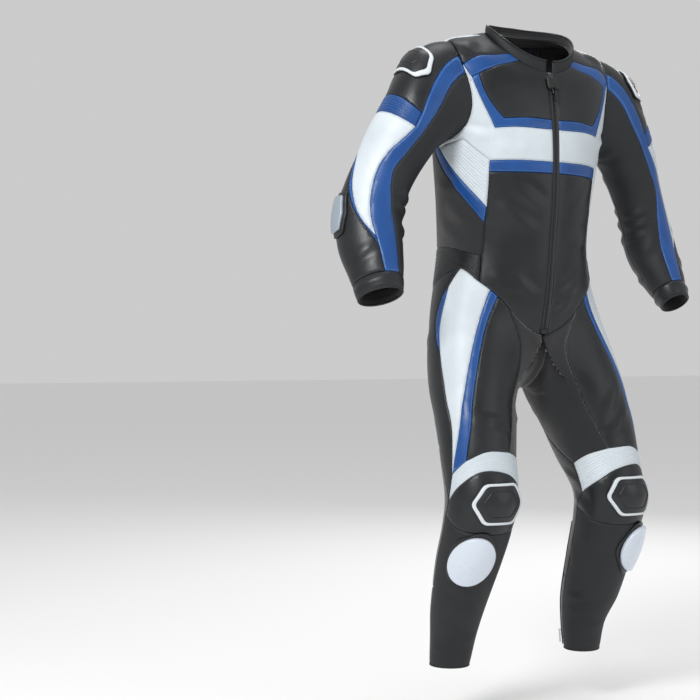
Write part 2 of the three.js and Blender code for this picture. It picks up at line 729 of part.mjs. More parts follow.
// Zips: a strip of teeth and tape, a slider with a pin between two lugs, and a pull tab on the pin.
const boxBetween = (low, high) => {
  const size = high.map((value, k) => value - low[k]);
  const middle = high.map((value, k) => (value + low[k]) / 2);
  return new THREE.BoxGeometry(...size).translate(...middle);
};
const PIN = { radius: 0.9, up: 3, out: 7.6, half: 2 };
const SLIDER = {
  half: [4.5, 8],
  top: 4.4,
  lugs: [[[-2.8, 0.8, 4], [-1.7, 5.2, 9.2]], [[1.7, 0.8, 4], [2.8, 5.2, 9.2]]],
};
const PULL = {
  eyeOuter: 2.6,
  eyeInner: 1.5,
  eyeHalf: 1.2,
  neck: [[-1.2, -3, 6.8], [1.2, 1.2, 8.4]],
  plateTop: -2.4,
  halfWide: 3.6,
  thick: 1.8,
};
const PIN_SIDES = 8;
const pinBar = (radius, half) =>
  new THREE.CylinderGeometry(radius, radius, 2 * half, PIN_SIDES)
    .rotateZ(Math.PI / 2)
    .translate(0, PIN.up, PIN.out);

function sliderSolid(bottom) {
  const [across, along] = SLIDER.half;
  const body = toSolid(boxBetween([-across, -along, bottom], [across, along, SLIDER.top]));
  const lugs = SLIDER.lugs.map(([low, high]) => toSolid(boxBetween(low, high)));
  return lugs.reduce((sum, lug) => sum.add(lug), body).add(toSolid(pinBar(PIN.radius, PIN.half)));
}
function pullSolid(length) {
  const plate = boxBetween(
    [-PULL.halfWide, -length, PIN.out - PULL.thick / 2],
    [PULL.halfWide, PULL.plateTop, PIN.out + PULL.thick / 2],
  );
  return toSolid(pinBar(PULL.eyeOuter, PULL.eyeHalf))
    .add(toSolid(boxBetween(...PULL.neck)))
    .subtract(toSolid(pinBar(PULL.eyeInner, PULL.eyeHalf + 1)))
    .add(toSolid(plate));
}
function seatOn(sheet, around, along) {
  const { point, across, normal } = frameAt(sheet, around, along);
  const up = normal.clone().cross(across).normalize();
  return new THREE.Matrix4().makeBasis(across, up, normal).setPosition(point);
}
function zipStrip({ sheet, turns, levels, inside, outside }) {
  const grid = (out) => turns.map((turn) => levels.map((along) => placed(sheet, turn, along, out)));
  return toSolid(wall(grid(outside), grid(inside)));
}
const sliderAt = (seat, bottom) => toSolid(toGeometry(sliderSolid(bottom)).applyMatrix4(seat));

const FRONT_ZIP = { low: 806, high: NECK, half: 1.75, slider: 1372, pull: 26, inside: -1.4 };
const frontSeat = seatOn("torso", 0, FRONT_ZIP.slider);
const frontStrip = zipStrip({
  sheet: "torso",
  turns: [-FRONT_ZIP.half, 0, FRONT_ZIP.half],
  levels: rowsBetween(FRONT_ZIP.low, FRONT_ZIP.high, 10),
  inside: FRONT_ZIP.inside,
  outside: 0.8,
});
panels.front_zip = toGeometry(frontStrip.add(sliderAt(frontSeat, FRONT_ZIP.inside)));
panels.front_zip_pull = toGeometry(pullSolid(FRONT_ZIP.pull)).applyMatrix4(frontSeat);

const ANKLE_ZIP = { turn: -140, low: 124, high: 402, halfWide: 4, slider: 152, pull: 24 };
const ankleSeat = seatOn("leg", ANKLE_ZIP.turn, ANKLE_ZIP.slider);
const ankleTurn = ANKLE_ZIP.halfWide / frameAt("leg", ANKLE_ZIP.turn, ANKLE_ZIP.slider).degree;
const ankleStrip = zipStrip({
  sheet: "leg",
  turns: [ANKLE_ZIP.turn - ankleTurn, ANKLE_ZIP.turn, ANKLE_ZIP.turn + ankleTurn],
  levels: rowsBetween(ANKLE_ZIP.low, ANKLE_ZIP.high, 6),
  inside: LIFT_ON,
  outside: LIFT_ON + 1.4,
});
const ankleZip = toGeometry(ankleStrip.add(sliderAt(ankleSeat, LIFT_ON)));
const anklePull = toGeometry(pullSolid(ANKLE_ZIP.pull)).applyMatrix4(ankleSeat);
panels.ankle_zip_left = ankleZip;
panels.ankle_zip_right = flipped(ankleZip);
panels.ankle_zip_pull_left = anklePull;
panels.ankle_zip_pull_right = flipped(anklePull);

// Colours
const BLACK_LEATHER = { color: 0x1b1d21, roughness: 0.5, metalness: 0 };
const BLUE_LEATHER = { color: 0x1250a8, roughness: 0.5, metalness: 0 };
const WHITE_LEATHER = { color: 0xe9ebee, roughness: 0.5, metalness: 0 };
const STRETCH = { color: 0x121318, roughness: 0.9, metalness: 0 };
const BLACK_PLASTIC = { color: 0x17181b, roughness: 0.35, metalness: 0 };
const PALE_PLASTIC = { color: 0xdfe3e8, roughness: 0.35, metalness: 0 };
const SILVER = { color: 0xaeb4bb, roughness: 0.3, metalness: 0.7 };
const DARK_METAL = { color: 0x2a2c30, roughness: 0.4, metalness: 0.6 };
const FINISHES = [
  [/^(yoke|back_band|sleeve_accordion|sleeve_stripe)/, BLUE_LEATHER],
  [/^(chest_(left|right)|chest_accordion|spine_band|sleeve_white)/, WHITE_LEATHER],
  [/^(shoulder_accordion|thigh_white|knee_accordion)/, WHITE_LEATHER],
  [/^(side|leg_stretch)/, STRETCH],
  [/^(shoulder_cup|knee_cup)/, BLACK_PLASTIC],
  [/^knee_puck/, PALE_PLASTIC],
  [/^elbow_cup/, SILVER],
  [/^front_zip/, DARK_METAL],
  [/^ankle_zip/, SILVER],
  [/./, BLACK_LEATHER],
];

const group = new THREE.Group();
for (const [name, geometry] of Object.entries(panels)) {
  const finish = FINISHES.find(([pattern]) => pattern.test(name))[1];
  const lowered = geometry.translate(0, 0, -NECK_HEIGHT);
  const mesh = new THREE.Mesh(lowered, new THREE.MeshStandardMaterial(finish));
  mesh.name = name;
  group.add(mesh);
}

export default group;
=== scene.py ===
# %% [markdown]
# A motorcycle race suit, filled out as if worn
#
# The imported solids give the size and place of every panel. Here each one is cut again as real
# leather or stretch cloth: with rolled seam edges, topstitching, pleats, creases and grain.

# %% The frame
import math

import bmesh
import bpy
import numpy as np
from mathutils import Matrix, Vector


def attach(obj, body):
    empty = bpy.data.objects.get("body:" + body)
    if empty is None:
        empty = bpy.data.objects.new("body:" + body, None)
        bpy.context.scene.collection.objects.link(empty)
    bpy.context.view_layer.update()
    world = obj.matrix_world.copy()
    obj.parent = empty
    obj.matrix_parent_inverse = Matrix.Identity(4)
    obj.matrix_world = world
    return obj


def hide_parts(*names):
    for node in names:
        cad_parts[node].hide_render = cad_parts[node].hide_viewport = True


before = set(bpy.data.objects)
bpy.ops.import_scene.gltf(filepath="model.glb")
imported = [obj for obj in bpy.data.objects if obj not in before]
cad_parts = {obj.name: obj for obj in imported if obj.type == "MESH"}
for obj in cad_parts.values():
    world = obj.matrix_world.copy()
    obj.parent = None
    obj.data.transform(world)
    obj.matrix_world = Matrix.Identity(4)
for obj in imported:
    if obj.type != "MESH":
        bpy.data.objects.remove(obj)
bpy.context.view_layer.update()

# %% [markdown]
# The camera stands at hip height, a tenth of a turn to the wearer's right of the front, and is
# panned so that the suit lies right of the middle. Everything below is in metres, with +Z up.

# %% Camera
MM = 0.001
NECK_HEIGHT = 1400 * MM  # the frame's origin above the ground
CAMERA_TURN = -36  # degrees from the front
CAMERA_PAN = 6.57  # degrees
CAMERA_HEIGHT = 770 * MM - NECK_HEIGHT
CAMERA_DISTANCE = 3.1
CAMERA_LENS = 74.15

turn = math.radians(CAMERA_TURN)
back = Vector((math.sin(turn), -math.cos(turn), 0))
pan = math.radians(CAMERA_PAN)
ahead = -math.cos(pan) * back + math.sin(pan) * Vector((back.y, -back.x, 0))

camera = bpy.data.objects.new("camera", bpy.data.cameras.new("camera"))
bpy.context.scene.collection.objects.link(camera)
camera.data.lens = CAMERA_LENS
camera.data.sensor_width = 36
camera.location = CAMERA_DISTANCE * back + Vector((0, 0, CAMERA_HEIGHT))
camera.rotation_euler = ahead.to_track_quat("-Z", "Y").to_euler()
bpy.context.scene.camera = camera
print("camera at", [round(v, 3) for v in camera.location])

# %% [markdown]
# The worn form is five sheets: the torso, two sleeves and two legs. A place on a sheet is degrees
# round the body or limb (0 at the front, 90 on the outside) and a position along it. These tables
# are the ones that the solids were made from, in millimetres above the ground. Numpy works out
# thousands of points at once, which keeps the script quick.

# %% Ring tables
TORSO = {
    "columns": ["along", "height", "side", "lean", "front", "back", "tilt", "saddle"],
    "rows": [
        [760, 760, 206, -12, 74, 136, 0, 0],
        [830, 830, 200, -2, 102, 142, 0, 0],
        [900, 900, 183, 10, 128, 142, 0, 0],
        [985, 985, 167, 18, 146, 138, 0, 0],
        [1080, 1080, 172, 14, 152, 138, 0, 0],
        [1160, 1158, 184, 4, 145, 146, 5, 1],
        [1230, 1226, 197, -6, 134, 150, 13, 5],
        [1295, 1289, 209, -16, 120, 146, 22, 12],
        [1350, 1346, 209, -26, 106, 134, 31, 27],
        [1390, 1379, 186, -33, 94, 114, 38, 26],
        [1430, 1396, 136, -41, 80, 90, 46, 18],
        [1470, 1408, 93, -50, 66, 66, 50, 12],
    ],
}
HIP_SEAM = {
    "columns": ["around", "height"],
    "rows": [
        [0, 799], [12, 816], [25, 850], [36, 879], [53, 911],
        [70, 938], [85, 930], [110, 905], [140, 890], [180, 884],
    ],
}
RISE = {
    "columns": ["share", "y", "height"],
    "rows": [
        [0, -86, 799], [0.22, -68, 738], [0.45, 0, 694],
        [0.68, 84, 724], [0.85, 128, 800], [1, 144, 884],
    ],
}
LEG = {
    "columns": ["along", "x", "y", "side", "fore", "aft"],
    "rows": [
        [118, 173, -4, 38, 41, 41],
        [180, 170, -13, 46, 47, 47],
        [240, 172, -33, 60, 55, 55],
        [340, 170, -71, 68, 66, 67],
        [420, 167, -102, 73, 70, 72],
        [474, 163, -108, 75, 73, 74],
        [540, 153, -84, 87, 75, 77],
        [620, 141, -57, 100, 80, 83],
        [672, 131, -36, 108, 84, 90],
        [760, 114, -20, 114, 104, 112],
    ],
}
SLEEVE = {
    "columns": ["along", "x", "y", "z", "side", "fore", "aft"],
    "rows": [
        [0, 205, -22, 1306, 80, 80, 80],
        [115, 284, -12, 1214, 66, 71, 71],
        [212, 331, 1, 1126, 55, 64, 64],
        [288, 357, 3, 1056, 54, 66, 66],
        [354, 367, -10, 992, 55, 67, 67],
        [428, 373, -44, 928, 45, 56, 56],
        [492, 380, -74, 874, 32, 46, 46],
    ],
}


def hermite(start, start_slope, end, end_slope, s):
    """The smooth curve from start to end, for s from 0 to 1."""
    t = 1 - s
    leaving = (1 + 2 * s) * t * t * start + s * t * t * start_slope
    return leaving + s * s * (3 - 2 * s) * end - s * s * t * end_slope


def smooth(table, column, at):
    """A column's value on a smooth curve through the table's rows."""
    rows = np.array(table["rows"], float)
    keys = rows[:, 0]
    values = rows[:, table["columns"].index(column)]
    slopes = np.empty_like(values)
    slopes[1:-1] = (values[2:] - values[:-2]) / (keys[2:] - keys[:-2])
    slopes[0] = (values[1] - values[0]) / (keys[1] - keys[0])
    slopes[-1] = (values[-1] - values[-2]) / (keys[-1] - keys[-2])
    i = np.clip(np.searchsorted(keys, at, side="right") - 1, 0, len(keys) - 2)
    span = keys[i + 1] - keys[i]
    s = (at - keys[i]) / span
    return hermite(values[i], slopes[i] * span, values[i + 1], slopes[i + 1] * span, s)


print("torso rows", len(TORSO["rows"]), "leg rows", len(LEG["rows"]), "sleeve rows", len(SLEEVE["rows"]))

# %% [markdown]
# Each sheet is one function from (around, along) to points. The leg leaves level rings at the
# crotch and climbs to the hip seam, and the sleeve leaves the armhole sideways before it turns
# down the arm.

# %% Sheets
CROTCH_RING = 672
RISE_SPAN = 180
SHOULDER_SPAN = 115
FULL_CAP = 1.3
DIAGONAL = math.radians(45)
OUTER_FROM, OUTER_TO = -42, 222
ARMHOLE = {"around": 90, "along": 1293, "half_around": 35, "half_along": 92}


def points(x, y, z):
    return np.stack(np.broadcast_arrays(x, y, z), axis=-1).astype(float)


def set_length(vectors, length):
    return vectors / np.linalg.norm(vectors, axis=-1, keepdims=True) * np.asarray(length)[..., None]


def torso_point(around, along):
    a = np.radians(around)
    depth = np.where(np.cos(a) > 0, smooth(TORSO, "front", along), smooth(TORSO, "back", along))
    height = smooth(TORSO, "height", along) - smooth(TORSO, "tilt", along) * np.cos(a)
    height = height - smooth(TORSO, "saddle", along) * np.cos(2 * a)
    across = smooth(TORSO, "side", along) * np.sin(a)
    return points(across, smooth(TORSO, "lean", along) - depth * np.cos(a), height)


def hip_seam(around):
    return smooth(HIP_SEAM, "height", np.abs((np.asarray(around, float) + 180) % 360 - 180))


def oval(table, around, along):
    """Outward and forward from a limb's middle: an oval set diagonally."""
    a = np.radians(around) + DIAGONAL
    depth = np.where(np.cos(a) > 0, smooth(table, "fore", along), smooth(table, "aft", along))
    across = smooth(table, "side", along) * np.sin(a)
    forward = depth * np.cos(a)
    return (
        across * math.cos(DIAGONAL) - forward * math.sin(DIAGONAL),
        across * math.sin(DIAGONAL) + forward * math.cos(DIAGONAL),
    )


def leg_ring(around, along):
    outward, forward = oval(LEG, around, along)
    return points(smooth(LEG, "x", along) + outward, smooth(LEG, "y", along) - forward, along)


def leg_top(around):
    """The leg's top edge, the hip seam outside and the rise between the legs, and which way it leaves."""
    a = (np.asarray(around, float) - OUTER_FROM + 720) % 360 + OUTER_FROM
    on_torso = 180 * (np.minimum(a, OUTER_TO) - OUTER_FROM) / (OUTER_TO - OUTER_FROM)
    height = hip_seam(on_torso)
    hip = torso_point(on_torso, height)
    share = 1 - (a - OUTER_TO) / (360 + OUTER_FROM - OUTER_TO)
    rise = points(0, smooth(RISE, "y", share), smooth(RISE, "height", share))
    outside = (a <= OUTER_TO)[..., None]
    leaving = np.where(outside, torso_point(on_torso, height + 1) - hip, [-1, 0, 0.2])
    return np.where(outside, hip, rise), leaving


def leg_point(around, along):
    around, along = np.broadcast_arrays(np.asarray(around, float), np.asarray(along, float))
    low = leg_ring(around, CROTCH_RING)
    top, rising = leg_top(around)
    length = np.linalg.norm(top - low, axis=-1)
    leaving = set_length(leg_ring(around, CROTCH_RING + 1) - low, length)
    s = ((along - CROTCH_RING) / RISE_SPAN)[..., None]
    upper = hermite(low, leaving, top, set_length(rising, length), s)
    return np.where((along <= CROTCH_RING)[..., None], leg_ring(around, along), upper)


def sleeve_ring(around, along):
    def middle(at):
        return points(smooth(SLEEVE, "x", at), smooth(SLEEVE, "y", at), smooth(SLEEVE, "z", at))

    ahead = set_length(middle(along + 1) - middle(along), 1)
    outer = set_length(np.array([1.0, 0, 0]) - ahead * ahead[..., :1], 1)
    front = set_length(np.cross(ahead, outer), 1)
    front = np.where(front[..., 1:2] > 0, -front, front)
    outward, forward = oval(SLEEVE, around, along)
    return middle(along) + outer * outward[..., None] + front * forward[..., None]


def sleeve_point(around, along):
    around, along = np.broadcast_arrays(np.asarray(around, float), np.asarray(along, float))
    a = np.radians(around)
    root_around = ARMHOLE["around"] - ARMHOLE["half_around"] * np.cos(a)
    root = torso_point(root_around, ARMHOLE["along"] + ARMHOLE["half_along"] * np.sin(a))
    edge = np.full_like(around, SHOULDER_SPAN)
    far = sleeve_ring(around, edge)
    length = np.linalg.norm(far - root, axis=-1)
    leaving = set_length(np.broadcast_to([1, 0, -0.06], far.shape), FULL_CAP * length)
    arriving = set_length(sleeve_ring(around, edge + 1) - far, length)
    cap = hermite(root, leaving, far, arriving, (along / SHOULDER_SPAN)[..., None])
    arm = sleeve_ring(around, np.maximum(along, SHOULDER_SPAN))
    return np.where((along >= SHOULDER_SPAN)[..., None], arm, cap)


SHEETS = {"torso": (torso_point, 1), "leg": (leg_point, 1), "sleeve": (sleeve_point, -1)}
TURN_STEP = 0.5
STEPS = {"torso": 1, "leg": 1, "sleeve": 1, "collar": 0.02}


def placed(sheet, around, along, out=0.0):
    """Points on a sheet, out millimetres off it, and its outward normals. Still in millimetres."""
    place, outward = SHEETS[sheet]
    around, along = np.broadcast_arrays(np.asarray(around, float), np.asarray(along, float))
    across = place(around + TURN_STEP, along) - place(around - TURN_STEP, along)
    up = place(around, along + STEPS[sheet]) - place(around, along - STEPS[sheet])
    normal = set_length(np.cross(across, up), 1) * outward
    return place(around, along) + normal * np.asarray(out)[..., None], normal


def metric(sheet, around, along):
    """Millimetres in a degree round, and in a unit along, at one place."""
    place, _ = SHEETS[sheet]
    around, along = np.array(float(around)), np.array(float(along))
    across = place(around + TURN_STEP, along) - place(around - TURN_STEP, along)
    up = place(around, along + STEPS[sheet]) - place(around, along - STEPS[sheet])
    return float(np.linalg.norm(across)) / (2 * TURN_STEP), float(np.linalg.norm(up)) / (2 * STEPS[sheet])


print("chest point", placed("torso", 0.0, 1200.0)[0].round(1))
print("knee point", placed("leg", 0.0, 474.0)[0].round(1))

# %% [markdown]
# Worn leather is never quite smooth. A crease is a low ridge with a shallow trough beside it that
# runs from one place on a sheet to another and fades at both ends. Each row below is one crease,
# laid where the suit bends: under the arms, inside the elbows, at the waist, the crotch,
# the seat and the ankles. wearer is 1 for the left side, -1 for the right and 0 for both.

# %% Creases
CREASE_COLUMNS = ["wearer", "from_around", "from_along", "to_around", "to_along", "width", "height"]
CREASES = {
    "torso": [
        [-1, 66, 1222, 40, 1216, 9, 2.6],
        [1, 68, 1228, 46, 1218, 8, 2.2],
        [-1, 44, 1196, 20, 1186, 11, 1.6],
        [-1, 33, 1112, 8, 1052, 13, 2.6],
        [-1, 44, 1070, 14, 1008, 15, 2.2],
        [1, 38, 1098, 12, 1064, 13, 2.0],
        [1, 46, 1010, 16, 980, 15, 1.8],
        [0, 30, 926, 8, 872, 12, 2.4],
        [-1, 44, 930, 26, 886, 10, 1.8],
        [1, 22, 886, 4, 836, 9, 2.0],
        [0, 88, 1076, 62, 1030, 12, 1.8],
        [0, 104, 1120, 72, 1096, 10, 1.6],
        [0, 100, 1038, 70, 992, 12, 1.6],
        [-1, 160, 1214, 151, 1098, 12, 3.2],
        [1, 162, 1206, 154, 1110, 13, 2.8],
        [-1, 172, 1232, 168, 1120, 11, 2.6],
        [1, 171, 1220, 166, 1096, 12, 3.0],
        [-1, 143, 1296, 150, 1190, 13, 2.2],
        [1, 145, 1306, 149, 1204, 13, 2.0],
        [0, 132, 1400, 141, 1330, 12, 1.8],
        [0, 84, 1424, 66, 1386, 12, 1.8],
        [0, 138, 1180, 130, 1110, 10, 1.6],
        [0, 172, 966, 140, 958, 10, 1.4],
    ],
    "sleeve": [
        [-1, -8, 236, -84, 262, 9, 3.4],
        [-1, -16, 272, -92, 288, 10, 3.6],
        [-1, -34, 306, -104, 300, 9, 2.8],
        [-1, -38, 336, -86, 352, 10, 2.2],
        [1, -12, 246, -92, 258, 9, 3.2],
        [1, -20, 280, -96, 292, 11, 4.0],
        [1, -36, 316, -108, 326, 9, 3.0],
        [1, -30, 360, -84, 376, 11, 2.4],
        [0, -40, 66, -104, 42, 11, 2.6],
        [0, -60, 96, -120, 84, 10, 2.2],
        [-1, 168, 60, 232, 96, 12, 3.0],
        [1, 172, 48, 226, 90, 12, 2.8],
        [0, 176, 150, 244, 172, 12, 2.6],
        [-1, 158, 226, 236, 246, 11, 3.2],
        [1, 160, 236, 240, 250, 10, 3.4],
        [0, 166, 268, 246, 282, 11, 3.2],
        [0, 176, 322, 250, 312, 11, 2.6],
        [-1, 120, 262, 166, 282, 10, 2.0],
        [1, 116, 254, 168, 272, 10, 2.2],
        [0, 84, 416, 28, 398, 10, 1.6],
        [0, 190, 398, 250, 420, 10, 2.0],
        [-1, 110, 64, 140, 84, 11, 1.6],
        [1, 60, 82, 46, 40, 10, 1.6],
        [0, 0, 470, 120, 474, 6, 1.4],
        [0, 170, 474, 300, 468, 6, 1.4],
    ],
    "leg": [
        [-1, -38, 786, -84, 724, 11, 3.2],
        [1, -36, 800, -88, 752, 10, 3.4],
        [1, -52, 762, -96, 694, 11, 3.0],
        [0, -30, 838, -64, 812, 8, 2.6],
        [-1, 12, 612, -24, 590, 9, 1.8],
        [-1, 26, 640, 0, 628, 9, 1.4],
        [1, 26, 706, -12, 632, 12, 2.6],
        [1, 30, 660, -8, 596, 11, 2.2],
        [1, 10, 616, -26, 584, 9, 1.8],
        [-1, -44, 640, -96, 612, 12, 2.2],
        [1, -48, 628, -100, 604, 12, 2.4],
        [-1, 196, 726, 128, 678, 12, 3.8],
        [-1, 206, 700, 138, 646, 12, 3.6],
        [-1, 184, 664, 122, 616, 12, 3.0],
        [1, 200, 716, 130, 690, 12, 3.6],
        [1, 208, 690, 142, 654, 11, 3.8],
        [1, 196, 660, 134, 630, 11, 3.0],
        [0, 168, 792, 120, 760, 14, 2.2],
        [0, 232, 646, 190, 612, 11, 2.4],
        [0, 214, 516, 148, 500, 12, 2.8],
        [0, 220, 474, 150, 470, 12, 3.0],
        [0, 210, 440, 146, 452, 12, 2.4],
        [-1, -72, 448, -112, 462, 10, 2.4],
        [1, -74, 440, -116, 462, 10, 2.6],
        [0, -84, 492, -118, 520, 10, 2.0],
        [-1, 64, 262, 12, 238, 11, 2.0],
        [-1, 70, 204, 8, 190, 10, 2.6],
        [-1, 40, 172, -40, 182, 9, 2.2],
        [-1, 84, 150, 30, 160, 8, 1.8],
        [1, -20, 252, -84, 232, 11, 2.4],
        [1, -10, 214, -80, 206, 10, 2.4],
        [1, 20, 176, -60, 168, 9, 2.2],
        [0, 206, 238, 150, 222, 11, 2.2],
        [0, 196, 186, 140, 176, 10, 2.0],
        [0, -100, 362, -84, 300, 10, 1.6],
    ],
    "collar": [
        [0, 40, 0.2, 70, 0.9, 6, 0.8],
        [0, 120, 0.2, 100, 0.9, 7, 0.8],
        [0, 150, 0.3, 172, 0.8, 7, 0.7],
    ],
}
CREASE_GAIN = 1.5  # all heights above are times this
TROUGH = 0.7  # its depth as a share of the ridge's height
TROUGH_AWAY = 1.5  # widths from the ridge


def creased(sheet, wearer, around, along):
    """How far the creases lift or sink each point, in millimetres."""
    lift = np.zeros_like(around)
    for row in CREASES[sheet]:
        crease = dict(zip(CREASE_COLUMNS, row))
        if crease["wearer"] == -wearer:
            continue
        middle = (crease["from_around"] + crease["to_around"]) / 2
        degree, step = metric(sheet, middle, (crease["from_along"] + crease["to_along"]) / 2)
        turned = (crease["to_around"] - crease["from_around"]) * degree
        run = np.array([turned, (crease["to_along"] - crease["from_along"]) * step])
        length = np.linalg.norm(run)
        x = ((around - middle + 180) % 360 - 180 + middle - crease["from_around"]) * degree
        y = (along - crease["from_along"]) * step
        share = (x * run[0] + y * run[1]) / length**2
        aside = (x * run[1] - y * run[0]) / length / crease["width"]
        fade = np.clip(1 - (2 * share - 1) ** 2, 0, None)
        ridge = np.exp(-(aside**2)) - TROUGH * np.exp(-((aside - TROUGH_AWAY) ** 2))
        lift += CREASE_GAIN * crease["height"] * fade * ridge
    return lift


print("creases", {sheet: len(rows) for sheet, rows in CREASES.items()})

# %% [markdown]
# The collar is one more sheet. It stands on the neck edge and leans forward as it rises, so along
# runs from 0 at its foot to 1 at its top.

# %% Collar sheet
NECK = 1462
COLLAR = {
    "columns": ["around", "height", "forward"],
    "rows": [[0, 24, 1], [60, 20, 2], [120, 14, 3], [180, 18, 6]],
}
COLLAR_LIFT = 1.0


def collar_point(around, along):
    half = np.abs((around + 180) % 360 - 180)
    foot = torso_point(around, NECK)
    lean = along**2 * smooth(COLLAR, "forward", half)
    rise = COLLAR_LIFT + along * smooth(COLLAR, "height", half)
    return foot + points(0.0, -lean, rise)


SHEETS["collar"] = (collar_point, 1)
print("collar top at the back", placed("collar", 180.0, 1.0)[0].round(1))

# %% [markdown]
# Seam lines are drawn once, as places on a sheet, and shared by the panels on both sides of them.
# A line is a smooth curve through its points, so a corner is where two lines meet. A panel's
# outline is a chain of lines, and a line that starts with a minus sign is its mirror image on the
# wearer's other side.

# %% Seam lines of the torso
ZIP_EDGE = 2.6  # degrees, where the panels stop beside the zip


def armhole_arc(start, end):
    """Places round the armhole, at degrees round its oval."""
    turns = np.radians(np.linspace(start, end, 9))
    around = ARMHOLE["around"] - ARMHOLE["half_around"] * np.cos(turns)
    return list(zip(around, ARMHOLE["along"] + ARMHOLE["half_along"] * np.sin(turns)))


def hip_line(start, end):
    around = np.linspace(start, end, 9)
    return list(zip(around, hip_seam(around)))


LINES = {
    "neck_chest": [(ZIP_EDGE, NECK), (40, NECK)],
    "neck_yoke": [(40, NECK), (53, NECK)],
    "neck_shoulder": [(53, NECK), (100, NECK)],
    "neck_back": [(100, NECK), (133, NECK)],
    "neck_blue": [(133, NECK), (146, NECK)],
    "neck_white": [(146, NECK), (168, NECK)],
    "neck_spine": [(168, NECK), (192, NECK)],
    "chest_high": [(40, NECK), (42, 1389), (50, 1350)],
    "chest_side": [(50, 1350), (46, 1321), (40, 1290), (34, 1263)],
    "chest_low": [(34, 1263), (17, 1275), (ZIP_EDGE, 1276)],
    "zip_chest": [(ZIP_EDGE, NECK), (ZIP_EDGE, 1276)],
    "yoke_outer": [(53, NECK), (56, 1401), (59, 1372), (63, 1352)],
    "yoke_end": [(63, 1352), (55, 1336)],
    "yoke_cross": [(55, 1336), (50, 1350)],
    "band_side": [(55, 1336), (51, 1316), (45, 1275), (41, 1236)],
    "band_low": [(41, 1236), (24, 1246), (ZIP_EDGE, 1248)],
    "zip_band": [(ZIP_EDGE, 1276), (ZIP_EDGE, 1248)],
    "white_low": [(ZIP_EDGE, 1164), (26, 1164), (47, 1161)],
    "zip_white": [(ZIP_EDGE, 1248), (ZIP_EDGE, 1164)],
    "zip_low_band": [(ZIP_EDGE, 1164), (ZIP_EDGE, 1137)],
    "low_band_low": [(ZIP_EDGE, 1137), (48, 1136)],
    "low_band_end": [(48, 1136), (47, 1161)],
    "ribs_end": [(48, 1136), (51, 1062)],
    "ribs_high": [(47, 1161), (66, 1206)],
    "under_arm": [(66, 1206), (94, 1190)],
    "under_arm_back": [(94, 1190), (97, 1203)],
    "armhole_front": armhole_arc(39.5, -101.5),
    "armhole_blue": armhole_arc(-101.5, -129),
    "armhole_side": armhole_arc(-129, -143.3),
    "armhole_white": armhole_arc(-143.3, -156.1),
    "armhole_back": armhole_arc(-156.1, -183.1),
    "armhole_shoulder": armhole_arc(39.5, 103.2),
    "ribs_low": [(94, 1190), (51, 1062)],
    "diagonal_low": [(53, 1030), (100, 1176), (112, 1221)],
    "diagonal_tip": [(51, 1062), (53, 1030)],
    "side_front": [(53, 1030), (54, 964)],
    "waist_front": [(54, 964), (52, float(hip_seam(52)))],
    "waist_high": [(54, 964), (86, 984), (120, 988)],
    "zip_front": [(ZIP_EDGE, 1137), (ZIP_EDGE, float(hip_seam(ZIP_EDGE)))],
    "hip_front": hip_line(ZIP_EDGE, 52),
    "hip_waist": hip_line(52, 120),
    "side_back": [(118, 1238), (124, 1200), (134, 1097), (143, 990)],
    "lumbar_step": [(143, 990), (120, 988)],
    "stripe_inner": [(122, 1256), (128, 1200), (141, 1097), (154, 990)],
    "stripe_low": [(143, 990), (154, 990)],
    "band_back_low": [(154, 990), (180, 990)],
    "band_back_high": [(155, 1034), (166, 1030), (180, 1030)],
    "band_back_side": [(133, 1349), (140, 1250), (148, 1150), (155, 1034)],
    "band_back_top": [(125, 1298), (133, 1349)],
    "centre_band": [(180, 1030), (180, 990)],
    "centre_back": [(180, 1264), (180, 1030)],
    "shoulder_ribs": [(100, 1452), (133, 1349)],
    "shoulder_ribs_top": [(100, 1452), (98, 1382.6)],
    "shoulder_ridge": [(100, NECK), (100, 1452)],
    "blue_outer": [(133, NECK), (175.5, 1264)],
    "blue_inner": [(146, NECK), (174, 1306)],
    "spine_high": [(168, NECK), (174, 1306)],
    "spine_low": [(174, 1306), (175.5, 1264)],
    "spine_end": [(175.5, 1264), (180, 1264)],
    "lumbar_side": [(120, 988), (120, 928)],
    "lumbar_low": [(120, 928), (180, 928)],
    "armhole_ribs": armhole_arc(103.2, 176.9),
    "hip_back": hip_line(120, 180),
}
print("torso seam lines", len(LINES))

